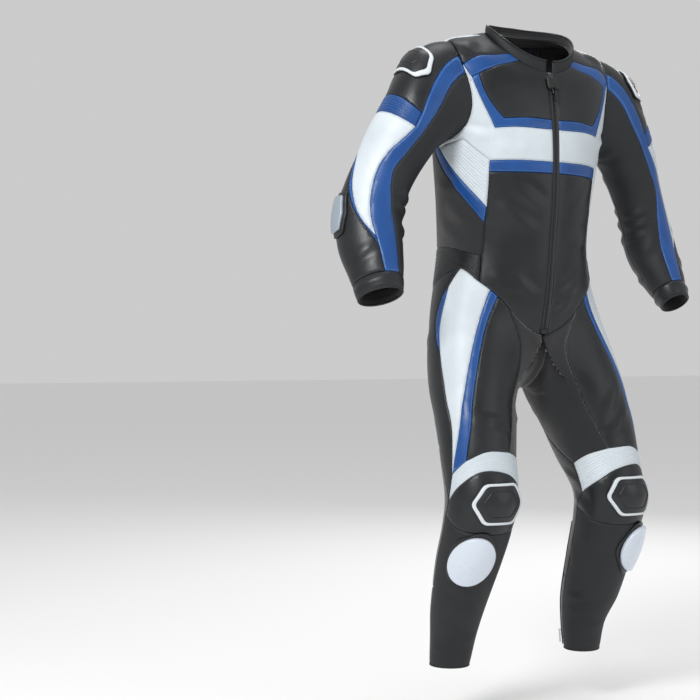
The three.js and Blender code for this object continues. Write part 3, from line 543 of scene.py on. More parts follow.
# %% Seam lines of the sleeves and legs
CUFF_SEAM, CUFF_END = 457, 492
HEM_END = 118
LEG_TOP = 852
LIMB_LINES = {
    "cap_upper": [(52, 0), (150, 0)],
    "cap_stripe": [(30, 0), (52, 0)],
    "cap_back": [(150, 0), (255, 0)],
    "cap_inner": [(-105, 0), (30, 0)],
    "stripe_top": [(52, 0), (34, 45), (20, 95)],
    "stripe_ribs": [(20, 95), (18, 117)],
    "stripe_outer": [(18, 117), (24, 139), (38, 180), (42, 223), (36, 277), (22, 378)],
    "stripe_outer_end": [(22, 378), (20, 398)],
    "stripe_outer_low": [(20, 398), (15, CUFF_SEAM)],
    "stripe_under": [
        (30, 0), (18, 30), (4, 64), (1, 110), (8, 165), (14, 210), (-6, 285), (-22, 383), (-26, CUFF_SEAM),
    ],
    "upper_low": [(20, 95), (150, 95)],
    "sleeve_ribs_low": [(18, 117), (150, 117)],
    "upper_back": [(150, 0), (150, 95)],
    "ribs_back": [(150, 95), (150, 117)],
    "white_back": [(150, 117), (150, 165)],
    "dark_back": [(150, 165), (150, 178)],
    "fore_back": [(150, 178), (150, CUFF_SEAM)],
    "white_slant": [(150, 165), (110, 205), (87, 248), (50, 320), (22, 378)],
    "dark_slant": [(150, 178), (110, 220), (90, 260), (45, 335), (20, 398)],
    "inner_back": [(-105, 0), (-105, CUFF_SEAM)],
    "inner_back_turned": [(255, 0), (255, CUFF_SEAM)],
    "cuff_fore": [(15, CUFF_SEAM), (150, CUFF_SEAM)],
    "cuff_stripe": [(-26, CUFF_SEAM), (15, CUFF_SEAM)],
    "cuff_inner": [(-105, CUFF_SEAM), (-26, CUFF_SEAM)],
    "cuff_back": [(150, CUFF_SEAM), (255, CUFF_SEAM)],
    "hip_crotch": [(-95, LEG_TOP), (-2, LEG_TOP)],
    "hip_perforated": [(-2, LEG_TOP), (11, LEG_TOP)],
    "hip_blue": [(11, LEG_TOP), (21, LEG_TOP)],
    "hip_white": [(21, LEG_TOP), (61, LEG_TOP)],
    "hip_seat": [(61, LEG_TOP), (226.8, LEG_TOP)],
    "hip_gusset": [(226.8, LEG_TOP), (249, LEG_TOP)],
    "hip_seat_low": [(249, LEG_TOP), (265, LEG_TOP)],
    "gusset": [(226.8, LEG_TOP), (229, 832), (236, 820), (244, 829), (249, LEG_TOP)],
    "white_inner": [(21, LEG_TOP), (29, 796), (45, 686), (60, 600), (80, 522)],
    "white_outer_top": [(61, LEG_TOP), (76, 830)],
    "white_outer": [(76, 830), (84, 775), (80, 735)],
    "white_outer_low": [(80, 735), (73, 684), (70, 610), (80, 522)],
    "sliver": [(76, 830), (87, 818), (94, 788), (89, 756), (80, 735)],
    "blue_under": [(11, LEG_TOP), (22, 780), (31, 700), (38, 631), (52, 550)],
    "perforated_inner": [(-2, LEG_TOP), (-14, 830), (-22, 800), (-33, 680), (-28, 610), (-20, 565)],
    "knee_high_blue": [(80, 522), (52, 550)],
    "knee_high_front": [(52, 550), (18, 568), (-20, 565)],
    "knee_high_inner": [(-20, 565), (-50, 552), (-78, 532)],
    "knee_low": [(97, 472), (66, 504), (28, 530), (-13, 524), (-50, 499), (-88, 472)],
    "knee_outer": [(80, 522), (97, 472)],
    "knee_inner": [(-78, 532), (-88, 472)],
    "knee_side": [(97, 472), (106, 440)],
    "knee_side_inner": [(-88, 472), (-104, 440)],
    "knee_arch": [(106, 440), (60, 412), (0, 404), (-60, 412), (-104, 440)],
    "shin_outer_high": [(106, 440), (106, 288)],
    "shin_outer_low": [(106, 288), (106, HEM_END)],
    "shin_inner_high": [(-104, 440), (-106, 285)],
    "shin_inner_low": [(-106, 285), (-106, HEM_END)],
    "hem_front": [(106, HEM_END), (-106, HEM_END)],
    "hem_back": [(106, HEM_END), (254, HEM_END)],
    "calf_high": [(106, 288), (180, 280), (254, 285)],
    "calf_inner": [(254, 285), (254, HEM_END)],
    "seat_front": [(97, 472), (104, 520), (115, 572)],
    "seat_low": [(115, 572), (180, 572)],
    "seat_rise": [(180, 572), (232, 600)],
    "seat_inner": [(232, 600), (250, 700), (265, LEG_TOP)],
    "seat_inner_turned": [(-128, 600), (-110, 700), (-95, LEG_TOP)],
    "thigh_cross": [(-128, 600), (-100, 562), (-78, 532)],
    "back_knee_inner": [(232, 600), (260, 562), (282, 532)],
    "back_knee_front": [(282, 532), (272, 472)],
    "back_knee_side": [(272, 472), (256, 440)],
    "back_knee_low": [(256, 440), (254, 285)],
}
LINES.update(LIMB_LINES)
print("seam lines in all", len(LINES))

# %% [markdown]
# Panels. Each row names the pieces of leather or cloth that a maker cuts, the lines round it, its
# finish, and the solid that it stands for. Two panels may stand for one solid, where the solid
# holds both.

# %% Panel table
PANELS = {
    "torso": [
        ("chest_upper", "black perforated", ["neck_chest", "chest_high", "chest_side", "chest_low",
                                             "zip_chest"], "chest_upper"),
        ("yoke_shoulder", "blue", ["neck_yoke", "yoke_outer", "yoke_end", "yoke_cross", "chest_high"], "yoke"),
        ("yoke_chest", "blue", ["yoke_cross", "band_side", "band_low", "zip_band", "chest_low",
                                "chest_side"], "yoke"),
        ("chest_white", "white", ["yoke_end", "band_side", "band_low", "zip_white", "white_low", "ribs_high",
                                  "under_arm", "under_arm_back", "armhole_front"], "chest"),
        ("chest_band", "blue", ["white_low", "low_band_end", "low_band_low", "zip_low_band"], "chest"),
        ("front_panel", "black perforated", ["low_band_low", "ribs_end", "diagonal_tip", "side_front",
                                             "waist_front", "hip_front", "zip_front"], "front"),
        ("diagonal", "blue", ["under_arm_back", "armhole_blue", "diagonal_low", "diagonal_tip",
                              "ribs_low"], "side"),
        ("side_stretch", "stretch", ["diagonal_low", "armhole_side", "side_back", "lumbar_step", "waist_high",
                                     "side_front"], "side"),
        ("back_stripe", "white", ["side_back", "armhole_white", "stripe_inner", "stripe_low"], "back_band"),
        ("back_blue", "blue", ["stripe_inner", "armhole_back", "band_back_top", "band_back_side",
                               "band_back_high", "centre_band", "band_back_low"], "back_band"),
        ("back_panel", "black", ["neck_back", "shoulder_ridge", "shoulder_ribs", "band_back_side",
                                 "band_back_high", "centre_back", "spine_end", "blue_outer"], "back"),
        ("shoulder_front", "black", ["neck_shoulder", "shoulder_ridge", "shoulder_ribs_top",
                                     "armhole_shoulder", "yoke_outer"], "back"),
        ("spine_blue", "blue", ["neck_blue", "blue_inner", "spine_low", "blue_outer"], "spine_band"),
        ("spine_white", "white", ["neck_white", "spine_high", "blue_inner"], "spine_band"),
    ],
    "sleeve": [
        ("upper_sleeve", "black", ["cap_upper", "upper_back", "upper_low", "stripe_top"], "sleeve_upper"),
        ("sleeve_white_panel", "white", ["sleeve_ribs_low", "white_back", "white_slant",
                                         "stripe_outer"], "sleeve_white"),
        ("sleeve_dark_strip", "blue", ["white_slant", "dark_back", "dark_slant",
                                       "stripe_outer_end"], "sleeve_arm"),
        ("forearm", "black", ["dark_slant", "fore_back", "cuff_fore", "stripe_outer_low"], "sleeve_arm"),
        ("sleeve_blue_stripe", "blue", ["cap_stripe", "stripe_top", "stripe_ribs", "stripe_outer",
                                        "stripe_outer_end", "stripe_outer_low", "cuff_stripe",
                                        "stripe_under"], "sleeve_stripe"),
        ("sleeve_back", "black", ["cap_back", "inner_back_turned", "cuff_back", "fore_back", "dark_back",
                                  "white_back", "ribs_back", "upper_back"], "sleeve_arm"),
        ("sleeve_inner", "matte black", ["cap_inner", "stripe_under", "cuff_inner",
                                         "inner_back"], "sleeve_arm"),
    ],
    "leg": [
        ("thigh_white_panel", "white", ["hip_white", "white_outer_top", "white_outer", "white_outer_low",
                                        "white_inner"], "thigh_white"),
        ("thigh_blue_stripe", "blue", ["hip_blue", "white_inner", "knee_high_blue",
                                       "blue_under"], "thigh_front"),
        ("thigh_perforated", "black perforated", ["hip_perforated", "blue_under", "knee_high_front",
                                                  "perforated_inner"], "thigh_front"),
        ("thigh_sliver", "blue", ["white_outer", "sliver"], "seat"),
        ("seat_panel", "black", ["hip_seat", "gusset", "hip_seat_low", "seat_inner", "seat_rise", "seat_low",
                                 "seat_front", "knee_outer", "white_outer_low", "sliver",
                                 "white_outer_top"], "seat"),
        ("gusset_panel", "black", ["hip_gusset", "gusset"], "seat"),
        ("inner_thigh", "stretch", ["hip_crotch", "perforated_inner", "knee_high_inner", "thigh_cross",
                                    "seat_inner_turned"], "leg_stretch"),
        ("back_knee", "stretch", ["seat_front", "seat_low", "seat_rise", "back_knee_inner",
                                  "back_knee_front", "back_knee_side", "back_knee_low", "calf_high",
                                  "shin_outer_high", "knee_side"], "leg_stretch"),
        ("knee_surround", "black", ["knee_low", "knee_side_inner", "knee_arch", "knee_side"], "shin"),
        ("shin_panel", "matte black", ["knee_arch", "shin_inner_high", "shin_inner_low", "hem_front",
                                       "shin_outer_low", "shin_outer_high"], "shin"),
        ("calf_panel", "black", ["calf_high", "calf_inner", "hem_back", "shin_outer_low"], "shin"),
    ],
}
CENTRE_PANELS = [
    ("spine_panel", "black", ["neck_spine", "spine_high", "spine_low", "spine_end", "-spine_end",
                              "-spine_low", "-spine_high"], "spine"),
    ("lumbar_panel", "black", ["lumbar_step", "stripe_low", "band_back_low", "-band_back_low",
                               "-stripe_low", "-lumbar_step", "-lumbar_side", "-lumbar_low", "lumbar_low",
                               "lumbar_side"], "lumbar"),
]
print("panels on each side", sum(len(rows) for rows in PANELS.values()))
print("and in the middle", len(CENTRE_PANELS))

# %% [markdown]
# How a panel is made: its outline is sampled every few millimetres in a flat plane, a second loop
# is drawn a seam allowance inside it, and both are filled with faces. Cutting the flat piece along
# many parallel planes gives it an even grid that still follows the outline, and only then is it
# laid on the worn sheet. Solidify turns it into real leather with a thickness.

# %% Outlines
SAMPLE = 6.0  # millimetres between outline points
LEATHER = 2.0 * MM
SEAM_ROLL = 1.1  # millimetres that an edge dips at its seam
ROLL_WIDTH = 3.0
PUFF = 1.3  # millimetres that a panel swells away from its seams
PUFF_REACH = 18.0
LARGEST_GAP = 2.0  # between the ends of two lines that should meet
SHARPEST_MITRE = 0.02  # keeps the mitre at a very sharp corner finite
MITRE_ROOM = 0.96  # the share of the inset that a moved point must keep clear
CELL = 8.0  # millimetres between the cuts of a panel's grid
CUT_SNAP = 0.02


def sampled(line, sheet):
    """A line's points on a smooth curve, every few millimetres."""
    spots = np.array(line, float)
    degree, step = metric(sheet, *spots[len(spots) // 2])
    gaps = np.hypot(*(np.diff(spots, axis=0) * [degree, step]).T)
    runs = np.concatenate([[0], np.cumsum(gaps)])
    table = {"columns": ["run", "around", "along"], "rows": np.column_stack([runs, spots])}
    at = np.linspace(0, runs[-1], max(2, int(round(runs[-1] / SAMPLE)) + 1))
    return np.column_stack([smooth(table, "around", at), smooth(table, "along", at)])


def chain(sheet, names):
    """Lines joined end to end, each turned round if need be, as a list of runs of places."""
    runs = []
    for name in names:
        run = sampled(LINES[name.lstrip("-")], sheet)
        if name.startswith("-"):
            run = np.column_stack([360 - run[:, 0], run[:, 1]])
        runs.append(run)
    if len(runs) > 1:
        first, ends = runs[0], runs[1][[0, -1]]
        if np.linalg.norm(ends - first[0], axis=1).min() < np.linalg.norm(ends - first[-1], axis=1).min():
            runs[0] = first[::-1]
    for k in range(1, len(runs)):
        end = runs[k - 1][-1]
        if np.linalg.norm(runs[k][0] - end) > np.linalg.norm(runs[k][-1] - end):
            runs[k] = runs[k][::-1]
        if np.linalg.norm(runs[k][0] - end) > LARGEST_GAP:
            raise ValueError(f"the lines {names} have a gap before {names[k]}")
    return runs


def outline(sheet, names):
    """A closed loop of places."""
    return np.vstack([run[:-1] for run in chain(sheet, names)])


def rail(sheet, names):
    """An open line of places from end to end."""
    runs = chain(sheet, names)
    return np.vstack([run[:-1] for run in runs] + [runs[-1][-1:]])


def edge_distance(spots, loop):
    """Each spot's distance to a closed loop, and the place along the loop that is nearest."""
    ends = np.roll(loop, -1, axis=0)
    along = ends - loop
    lengths = np.maximum(np.linalg.norm(along, axis=1), 1e-9)
    runs = np.concatenate([[0], np.cumsum(lengths)[:-1]])
    offset = spots[:, None, :] - loop[None]
    share = np.clip((offset * along).sum(-1) / lengths**2, 0, 1)
    distance = np.linalg.norm(offset - share[..., None] * along, axis=-1)
    nearest = distance.argmin(axis=1)
    rows = np.arange(len(spots))
    return distance[rows, nearest], runs[nearest] + share[rows, nearest] * lengths[nearest]


def inset_loop(loop, inside):
    """The loop moved inwards, with its mitres, and without the points that have no room."""
    before = loop - np.roll(loop, 1, axis=0)
    after = np.roll(loop, -1, axis=0) - loop
    before, after = set_length(before, 1), set_length(after, 1)
    area = 0.5 * np.sum(loop[:, 0] * np.roll(loop[:, 1], -1) - np.roll(loop[:, 0], -1) * loop[:, 1])
    side = 1 if area > 0 else -1
    normal = np.column_stack([-(before + after)[:, 1], (before + after)[:, 0]]) * side
    mitre = normal / np.maximum((normal**2).sum(1, keepdims=True), SHARPEST_MITRE) * 2
    moved = loop + mitre * inside
    room, _ = edge_distance(moved, loop)
    kept = moved[room > MITRE_ROOM * inside]
    return kept if len(kept) > 3 else None


print("sampled outline of the chest", len(outline("torso", PANELS["torso"][0][2])), "points")

# %% Cutting a flat panel
def closed_edges(bm, loop):
    corners = [bm.verts.new((x, y, 0)) for x, y in loop]
    return [bm.edges.new((corners[k - 1], corners[k])) for k in range(len(corners))]


def fill_between(bm, edges):
    bmesh.ops.triangle_fill(bm, use_beauty=True, use_dissolve=False, edges=edges, normal=(0, 0, 1))


def cut_flat(loop):
    """A flat piece inside a loop, with a ring of edges at the seam allowance and a grid of cuts."""
    bm = bmesh.new()
    edges = closed_edges(bm, loop)
    inner = inset_loop(loop, ROLL_WIDTH)
    if inner is not None:
        inner_edges = closed_edges(bm, inner)
        fill_between(bm, edges + inner_edges)
        edges = inner_edges
    fill_between(bm, edges)
    low, high = loop.min(axis=0), loop.max(axis=0)
    for axis in (0, 1):
        count = max(1, math.ceil((high[axis] - low[axis]) / CELL))
        for k in range(1, count):
            at = [0, 0, 0]
            at[axis] = low[axis] + (high[axis] - low[axis]) * k / count
            facing = [0, 0, 0]
            facing[axis] = 1
            everything = bm.verts[:] + bm.edges[:] + bm.faces[:]
            bmesh.ops.bisect_plane(bm, geom=everything, dist=CUT_SNAP, plane_co=at, plane_no=facing)
    return bm


def flat_places(bm):
    return np.array([(v.co.x, v.co.y) for v in bm.verts])


def laid_on(bm, name, shape, wearer, closed=False):
    """Moves a flat piece's points to their places on the suit and makes it an object."""
    cut_layer = bm.loops.layers.uv.new("cut")
    layers = {title: bm.verts.layers.float.new(title) for title in ("seam", "run")}
    bm.verts.ensure_lookup_table()
    bm.verts.index_update()
    mirror = np.array([wearer, 1, 1])
    moved = shape["places"] * mirror * MM - [0, 0, NECK_HEIGHT]
    for face in bm.faces:
        face.smooth = True
        for corner in face.loops:
            corner[cut_layer].uv = shape["flat"][corner.vert.index] * MM
    for v in bm.verts:
        for title, layer in layers.items():
            v[layer] = shape[title][v.index]
        v.co = moved[v.index]
    bm.normal_update()
    facing = sum(f.normal.dot(Vector(shape["normals"][f.verts[0].index] * mirror)) for f in bm.faces)
    if facing < 0:
        bmesh.ops.reverse_faces(bm, faces=bm.faces[:])
    if closed:
        bmesh.ops.remove_doubles(bm, verts=bm.verts[:], dist=0.02 * MM)
    return as_object(bm, name)


def as_object(bm, name):
    mesh = bpy.data.meshes.new(name)
    bm.to_mesh(mesh)
    bm.free()
    piece = bpy.data.objects.new(name, mesh)
    bpy.context.scene.collection.objects.link(piece)
    return piece


def thickened(piece, thickness=LEATHER):
    """Gives a sheet its thickness, inwards, with the lining as a second material."""
    wall = piece.modifiers.new("wall", "SOLIDIFY")
    wall.thickness = thickness
    wall.offset = -1
    wall.material_offset = 1
    return piece


def puffed(edge):
    """The swell of a sewn panel: rolled under at its seams and full away from them."""
    rolled = SEAM_ROLL * np.clip(1 - edge / ROLL_WIDTH, 0, None)
    return PUFF * (1 - np.exp(-edge / PUFF_REACH)) - rolled


def panel(name, sheet, loop, wearer):
    """A sewn panel: cut flat, laid on its sheet, creased and given its thickness."""
    seat = loop.mean(axis=0)
    degree, step = metric(sheet, *seat)
    scale = np.array([degree, step])
    flat_loop = (loop - seat) * scale
    bm = cut_flat(flat_loop)
    flat = flat_places(bm)
    around, along = (flat / scale + seat).T
    edge, run = edge_distance(flat, flat_loop)
    out = puffed(edge) + creased(sheet, wearer, around, along)
    places, normals = placed(sheet, around, along, out)
    shape = {"places": places, "normals": normals, "flat": flat, "seam": edge, "run": run}
    return thickened(laid_on(bm, name, shape, wearer))


print("a seam allowance of", ROLL_WIDTH, "mm and a wall of", LEATHER / MM, "mm")

# %% [markdown]
# Each piece of leather and cloth rides on the suit, and the solid that it stands for is hidden.


def declare_cloth(piece, node=None):
    """Rides a cloth piece on the suit, and hides the solid that it stands for."""
    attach(piece, "suit")
    if node:
        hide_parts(node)


SIDES = {"left": 1, "right": -1}


def finish_with(piece, finish, lined=True):
    """Gives a piece its material by the finish's name in the table further down, and the lining as a second
    one if it is lined.
    """
    material, slot = FINISHES[finish]
    piece.data.materials.clear()
    piece.data.materials.append(material)
    if lined:
        piece.data.materials.append(FINISHES["lining"][0])


print("sides", SIDES)

# %% [markdown]
# Materials. Every effect that more than one of them uses is a node group: leather grain, the row
# of topstitches beside a seam, punched holes, and the weave of stretch cloth. Each gives a mask or
# a height, and the shader itself stays in the material.

# %% Node helpers
def new_group(name, inputs, outputs):
    """An empty node group with float inputs {name: value} and float outputs."""
    tree = bpy.data.node_groups.new(name, "ShaderNodeTree")
    for title, value in inputs.items():
        tree.interface.new_socket(title, in_out="INPUT", socket_type="NodeSocketFloat").default_value = value
    for title in outputs:
        tree.interface.new_socket(title, in_out="OUTPUT", socket_type="NodeSocketFloat")
    return tree, tree.nodes.new("NodeGroupInput"), tree.nodes.new("NodeGroupOutput")


def add(tree, kind, inputs=None, **settings):
    """A node with its settings, and its inputs either linked or set."""
    node = tree.nodes.new(kind)
    for title, value in settings.items():
        setattr(node, title, value)
    for title, value in (inputs or {}).items():
        if isinstance(value, bpy.types.NodeSocket):
            tree.links.new(value, node.inputs[title])
        else:
            node.inputs[title].default_value = value
    return node


def maths(tree, operation, *values):
    return add(tree, "ShaderNodeMath", dict(enumerate(values)), operation=operation).outputs[0]


def bump(tree, height, strength, distance, normal=None):
    inputs = {"Height": height, "Strength": strength, "Distance": distance}
    if normal is not None:
        inputs["Normal"] = normal
    return add(tree, "ShaderNodeBump", inputs).outputs[0]


# %% Grain group
def make_grain():
    """Pebbled grain with fine wrinkles, and slow patches where the hide is duller."""
    tree, given, result = new_group("leather grain", {"Cells": 640, "Patches": 14}, ["Height", "Patch"])
    place = add(tree, "ShaderNodeTexCoord").outputs["Object"]
    warp = add(tree, "ShaderNodeTexNoise", {"Vector": place, "Scale": 90.0, "Detail": 2.0}).outputs["Fac"]
    cells = add(tree, "ShaderNodeTexVoronoi", {"Vector": place, "Scale": given.outputs["Cells"]},
                feature="SMOOTH_F1").outputs["Distance"]
    fine = add(tree, "ShaderNodeTexNoise", {"Vector": place, "Scale": 420.0, "Detail": 3.0}).outputs["Fac"]
    pebbles = maths(tree, "SUBTRACT", 1.0, cells)
    mixed = maths(tree, "ADD", maths(tree, "MULTIPLY", pebbles, 0.7), maths(tree, "MULTIPLY", fine, 0.5))
    height = maths(tree, "ADD", mixed, maths(tree, "MULTIPLY", warp, 0.5))
    patch = add(tree, "ShaderNodeTexNoise", {"Vector": place, "Scale": given.outputs["Patches"],
                                             "Detail": 4.0}).outputs["Fac"]
    tree.links.new(height, result.inputs["Height"])
    tree.links.new(patch, result.inputs["Patch"])
    return tree


def make_stitches():
    """A row of thread beside the seam. Height sinks the thread a little and the seam fold more."""
    tree, given, result = new_group("topstitch", {"Inset": 2.6, "Width": 0.45, "Pitch": 3.4},
                                    ["Thread", "Height"])
    seam = add(tree, "ShaderNodeAttribute", attribute_name="seam").outputs["Fac"]
    run = add(tree, "ShaderNodeAttribute", attribute_name="run").outputs["Fac"]
    aside = maths(tree, "ABSOLUTE", maths(tree, "SUBTRACT", seam, given.outputs["Inset"]))
    in_row = maths(tree, "LESS_THAN", aside, given.outputs["Width"])
    phase = maths(tree, "FRACT", maths(tree, "DIVIDE", run, given.outputs["Pitch"]))
    in_stitch = maths(tree, "LESS_THAN", phase, 0.72)
    thread = maths(tree, "MULTIPLY", in_row, in_stitch)
    groove = add(tree, "ShaderNodeMapRange", {"Value": aside, "From Min": 0.0, "From Max": 1.6,
                                              "To Min": 0.0, "To Max": 1.0},
                 interpolation_type="SMOOTHSTEP").outputs["Result"]
    tree.links.new(thread, result.inputs["Thread"])
    tree.links.new(maths(tree, "ADD", groove, maths(tree, "MULTIPLY", thread, 0.6)), result.inputs["Height"])
    return tree


def make_holes():
    """Punched holes in staggered rows over the flat cut, none of them near a seam."""
    tree, given, result = new_group("punched holes", {"Pitch": 5.5, "Radius": 0.9, "Clear": 12.0}, ["Hole"])
    cut = add(tree, "ShaderNodeUVMap", uv_map="cut").outputs[0]
    split = add(tree, "ShaderNodeSeparateXYZ", {"Vector": cut})
    across, up = (
        maths(tree, "DIVIDE", maths(tree, "MULTIPLY", split.outputs[axis], 1 / MM), given.outputs["Pitch"])
        for axis in ("X", "Y")
    )
    row = maths(tree, "FLOOR", up)
    shift = maths(tree, "MULTIPLY", maths(tree, "MODULO", row, 2.0), 0.5)
    x = maths(tree, "SUBTRACT", maths(tree, "FRACT", maths(tree, "ADD", across, shift)), 0.5)
    y = maths(tree, "SUBTRACT", maths(tree, "FRACT", up), 0.5)
    square = maths(tree, "ADD", maths(tree, "MULTIPLY", x, x), maths(tree, "MULTIPLY", y, y))
    distance = maths(tree, "MULTIPLY", maths(tree, "SQRT", square), given.outputs["Pitch"])
    inside = maths(tree, "LESS_THAN", distance, given.outputs["Radius"])
    seam = add(tree, "ShaderNodeAttribute", attribute_name="seam").outputs["Fac"]
    clear = maths(tree, "GREATER_THAN", seam, given.outputs["Clear"])
    tree.links.new(maths(tree, "MULTIPLY", inside, clear), result.inputs["Hole"])
    return tree


TURN_PER_METRE = 6283.0  # radians in a metre at a pitch of 1 mm


def make_weave():
    """Ribbed stretch cloth: fine ridges up the cloth, broken by a finer cross weave."""
    tree, given, result = new_group("stretch weave", {"Pitch": 2.4}, ["Height"])
    cut = add(tree, "ShaderNodeUVMap", uv_map="cut").outputs[0]
    split = add(tree, "ShaderNodeSeparateXYZ", {"Vector": cut})
    waves = []
    for axis, share in (("X", 1.0), ("Y", 0.5)):
        turned = maths(tree, "MULTIPLY", split.outputs[axis], TURN_PER_METRE)
        phase = maths(tree, "DIVIDE", turned, given.outputs["Pitch"])
        waves.append(maths(tree, "MULTIPLY", maths(tree, "SINE", maths(tree, "DIVIDE", phase, share)), share))
    tree.links.new(maths(tree, "ADD", *waves), result.inputs["Height"])
    return tree


GRAIN, STITCHES, HOLES, WEAVE = make_grain(), make_stitches(), make_holes(), make_weave()
print("node groups", [group.name for group in (GRAIN, STITCHES, HOLES, WEAVE)])


# %% Leather and cloth
def use_group(tree, group, **values):
    node = tree.nodes.new("ShaderNodeGroup")
    node.node_tree = group
    for title, value in values.items():
        node.inputs[title].default_value = value
    return node.outputs


def mix_colour(tree, share, low, high):
    node = add(tree, "ShaderNodeMix", data_type="RGBA")
    for title, value in (("Factor_Float", share), ("A_Color", low), ("B_Color", high)):
        socket = next(s for s in node.inputs if s.identifier == title)
        if isinstance(value, bpy.types.NodeSocket):
            tree.links.new(value, socket)
        else:
            socket.default_value = value
    return next(s for s in node.outputs if s.identifier == "Result_Color")


def colour(red, green, blue):
    return (red, green, blue, 1.0)


def new_material(name, **settings):
    material = bpy.data.materials.new(name)
    material.use_nodes = True
    shader = material.node_tree.nodes["Principled BSDF"]
    for title, value in settings.items():
        shader.inputs[title.replace("_", " ").title().replace("Ior", "IOR")].default_value = value
    return material, material.node_tree, shader


def make_leather(name, base, worn, thread, roughness=(0.30, 0.44), grain=0.26, holes=False, stitched=True):
    """Finished hide: two tones in slow patches, grain, thread beside the seams, and holes if punched, painted
    near-black: partly the dark lining seen through them, partly painted shade inside them.
    """
    material, tree, shader = new_material(name, specular_ior_level=0.42)
    hide = use_group(tree, GRAIN)
    patch = add(tree, "ShaderNodeMapRange", {"Value": hide["Patch"], "From Min": 0.35,
                                             "From Max": 0.65}).outputs["Result"]
    tone = mix_colour(tree, patch, base, worn)
    rough = add(tree, "ShaderNodeMapRange", {"Value": hide["Patch"], "From Min": 0.3, "From Max": 0.7,
                                            "To Min": roughness[0], "To Max": roughness[1]}).outputs["Result"]
    normal = bump(tree, hide["Height"], grain, 0.0006)
    if stitched:
        row = use_group(tree, STITCHES)
        tone = mix_colour(tree, row["Thread"], tone, thread)
        normal = bump(tree, row["Height"], 0.55, 0.0006, normal)
    if holes:
        punched = use_group(tree, HOLES)["Hole"]
        # Each hole is painted near-black: partly the dark lining seen through it, partly painted shade inside
        # the hole.
        tone = mix_colour(tree, punched, tone, colour(0.001, 0.001, 0.001))
        normal = bump(tree, maths(tree, "SUBTRACT", 1.0, punched), 0.8, 0.0008, normal)
    tree.links.new(tone, shader.inputs["Base Color"])
    tree.links.new(rough, shader.inputs["Roughness"])
    tree.links.new(normal, shader.inputs["Normal"])
    return material


def make_cloth(name, base, worn, pitch=2.4, strength=0.35):
    """Matte stretch cloth with a soft sheen."""
    material, tree, shader = new_material(name, roughness=0.86, sheen_weight=0.35, sheen_roughness=0.5)
    weave = use_group(tree, WEAVE, Pitch=pitch)["Height"]
    hide = use_group(tree, GRAIN, Patches=20)
    tone = mix_colour(tree, hide["Patch"], base, worn)
    tree.links.new(tone, shader.inputs["Base Color"])
    tree.links.new(bump(tree, weave, strength, 0.0003), shader.inputs["Normal"])
    return material


BLACK = colour(0.0065, 0.0080, 0.0100)
BLACK_WORN = colour(0.0115, 0.0135, 0.0165)
BLACK_THREAD = colour(0.03, 0.034, 0.04)
BLUE = colour(0.0055, 0.055, 0.215)
BLUE_WORN = colour(0.0085, 0.070, 0.265)
BLUE_THREAD = colour(0.05, 0.16, 0.46)
WHITE = colour(0.60, 0.66, 0.70)
WHITE_WORN = colour(0.54, 0.60, 0.64)
WHITE_THREAD = colour(0.42, 0.46, 0.49)

FINISHES = {
    "black": (make_leather("black leather", BLACK, BLACK_WORN, BLACK_THREAD), "black_leather"),
    "black perforated": (make_leather("black punched leather", BLACK, BLACK_WORN, BLACK_THREAD, holes=True),
                         "black_leather"),
    "matte black": (make_leather("matte black leather", BLACK, colour(0.014, 0.015, 0.018), BLACK_THREAD,
                                 roughness=(0.55, 0.7)), "black_leather"),
    "blue": (make_leather("blue leather", BLUE, BLUE_WORN, BLUE_THREAD), "blue_leather"),
    "white": (make_leather("white leather", WHITE, WHITE_WORN, WHITE_THREAD, roughness=(0.4, 0.52),
                           grain=0.14), "white_leather"),
    "white ribs": (make_leather("white pleated leather", WHITE, WHITE_WORN, WHITE_THREAD,
                                roughness=(0.42, 0.52), grain=0.1, stitched=False), "white_leather"),
    "blue ribs": (make_leather("blue pleated leather", BLUE, BLUE_WORN, BLUE_THREAD, stitched=False),
                  "blue_leather"),
    "black ribs": (make_leather("black pleated leather", BLACK, BLACK_WORN, BLACK_THREAD, stitched=False),
                   "black_leather"),
    "tape": (make_cloth("zip tape", colour(0.008, 0.008, 0.01), colour(0.012, 0.012, 0.014), pitch=1.2),
             "stretch_cloth"),
    "lining": (make_cloth("mesh lining", colour(0.008, 0.0085, 0.01), colour(0.012, 0.013, 0.015), pitch=3.0),
               "stretch_cloth"),
    "stretch": (make_cloth("black stretch cloth", colour(0.006, 0.0065, 0.008), colour(0.010, 0.011, 0.013)),
                "stretch_cloth"),
}
print("finishes", sorted(FINISHES))

# %% [markdown]
# Now every panel in the table is cut and laid, once for each side of the wearer. The creases
# differ from side to side, so the halves aren't exact copies.

# %% Flat panels
made = 0
for sheet, rows in PANELS.items():
    for name, finish, lines, node in rows:
        loop = outline(sheet, lines)
        for side, wearer in SIDES.items():
            piece = panel(f"{name}_{side}", sheet, loop, wearer)
            finish_with(piece, finish)
            declare_cloth(piece, f"{node}_{side}")
            made += 1
for name, finish, lines, node in CENTRE_PANELS:
    piece = panel(name, "torso", outline("torso", lines), 1)
    finish_with(piece, finish)
    declare_cloth(piece, node)
    made += 1
print("flat panels", made)

# %% [markdown]
# Accordion panels let the suit bend. Each one is an even grid between two seam lines, and the
# rows of the grid rise and fall as ribs that are never quite the same width.

# %% Accordion panels
PLEAT_CELL = 7.0  # millimetres along a rib
RIB_ROWS = 6
RIB_WANDER = 0.11  # how far a rib strays, as a share of its width
RIB_FADE = 5.0  # millimetres from the seams over which the ribs flatten
PLEAT_LEATHER = 1.4 * MM
PLEAT_CREASES = 0.6  # how much of a crease a ribbed panel shows


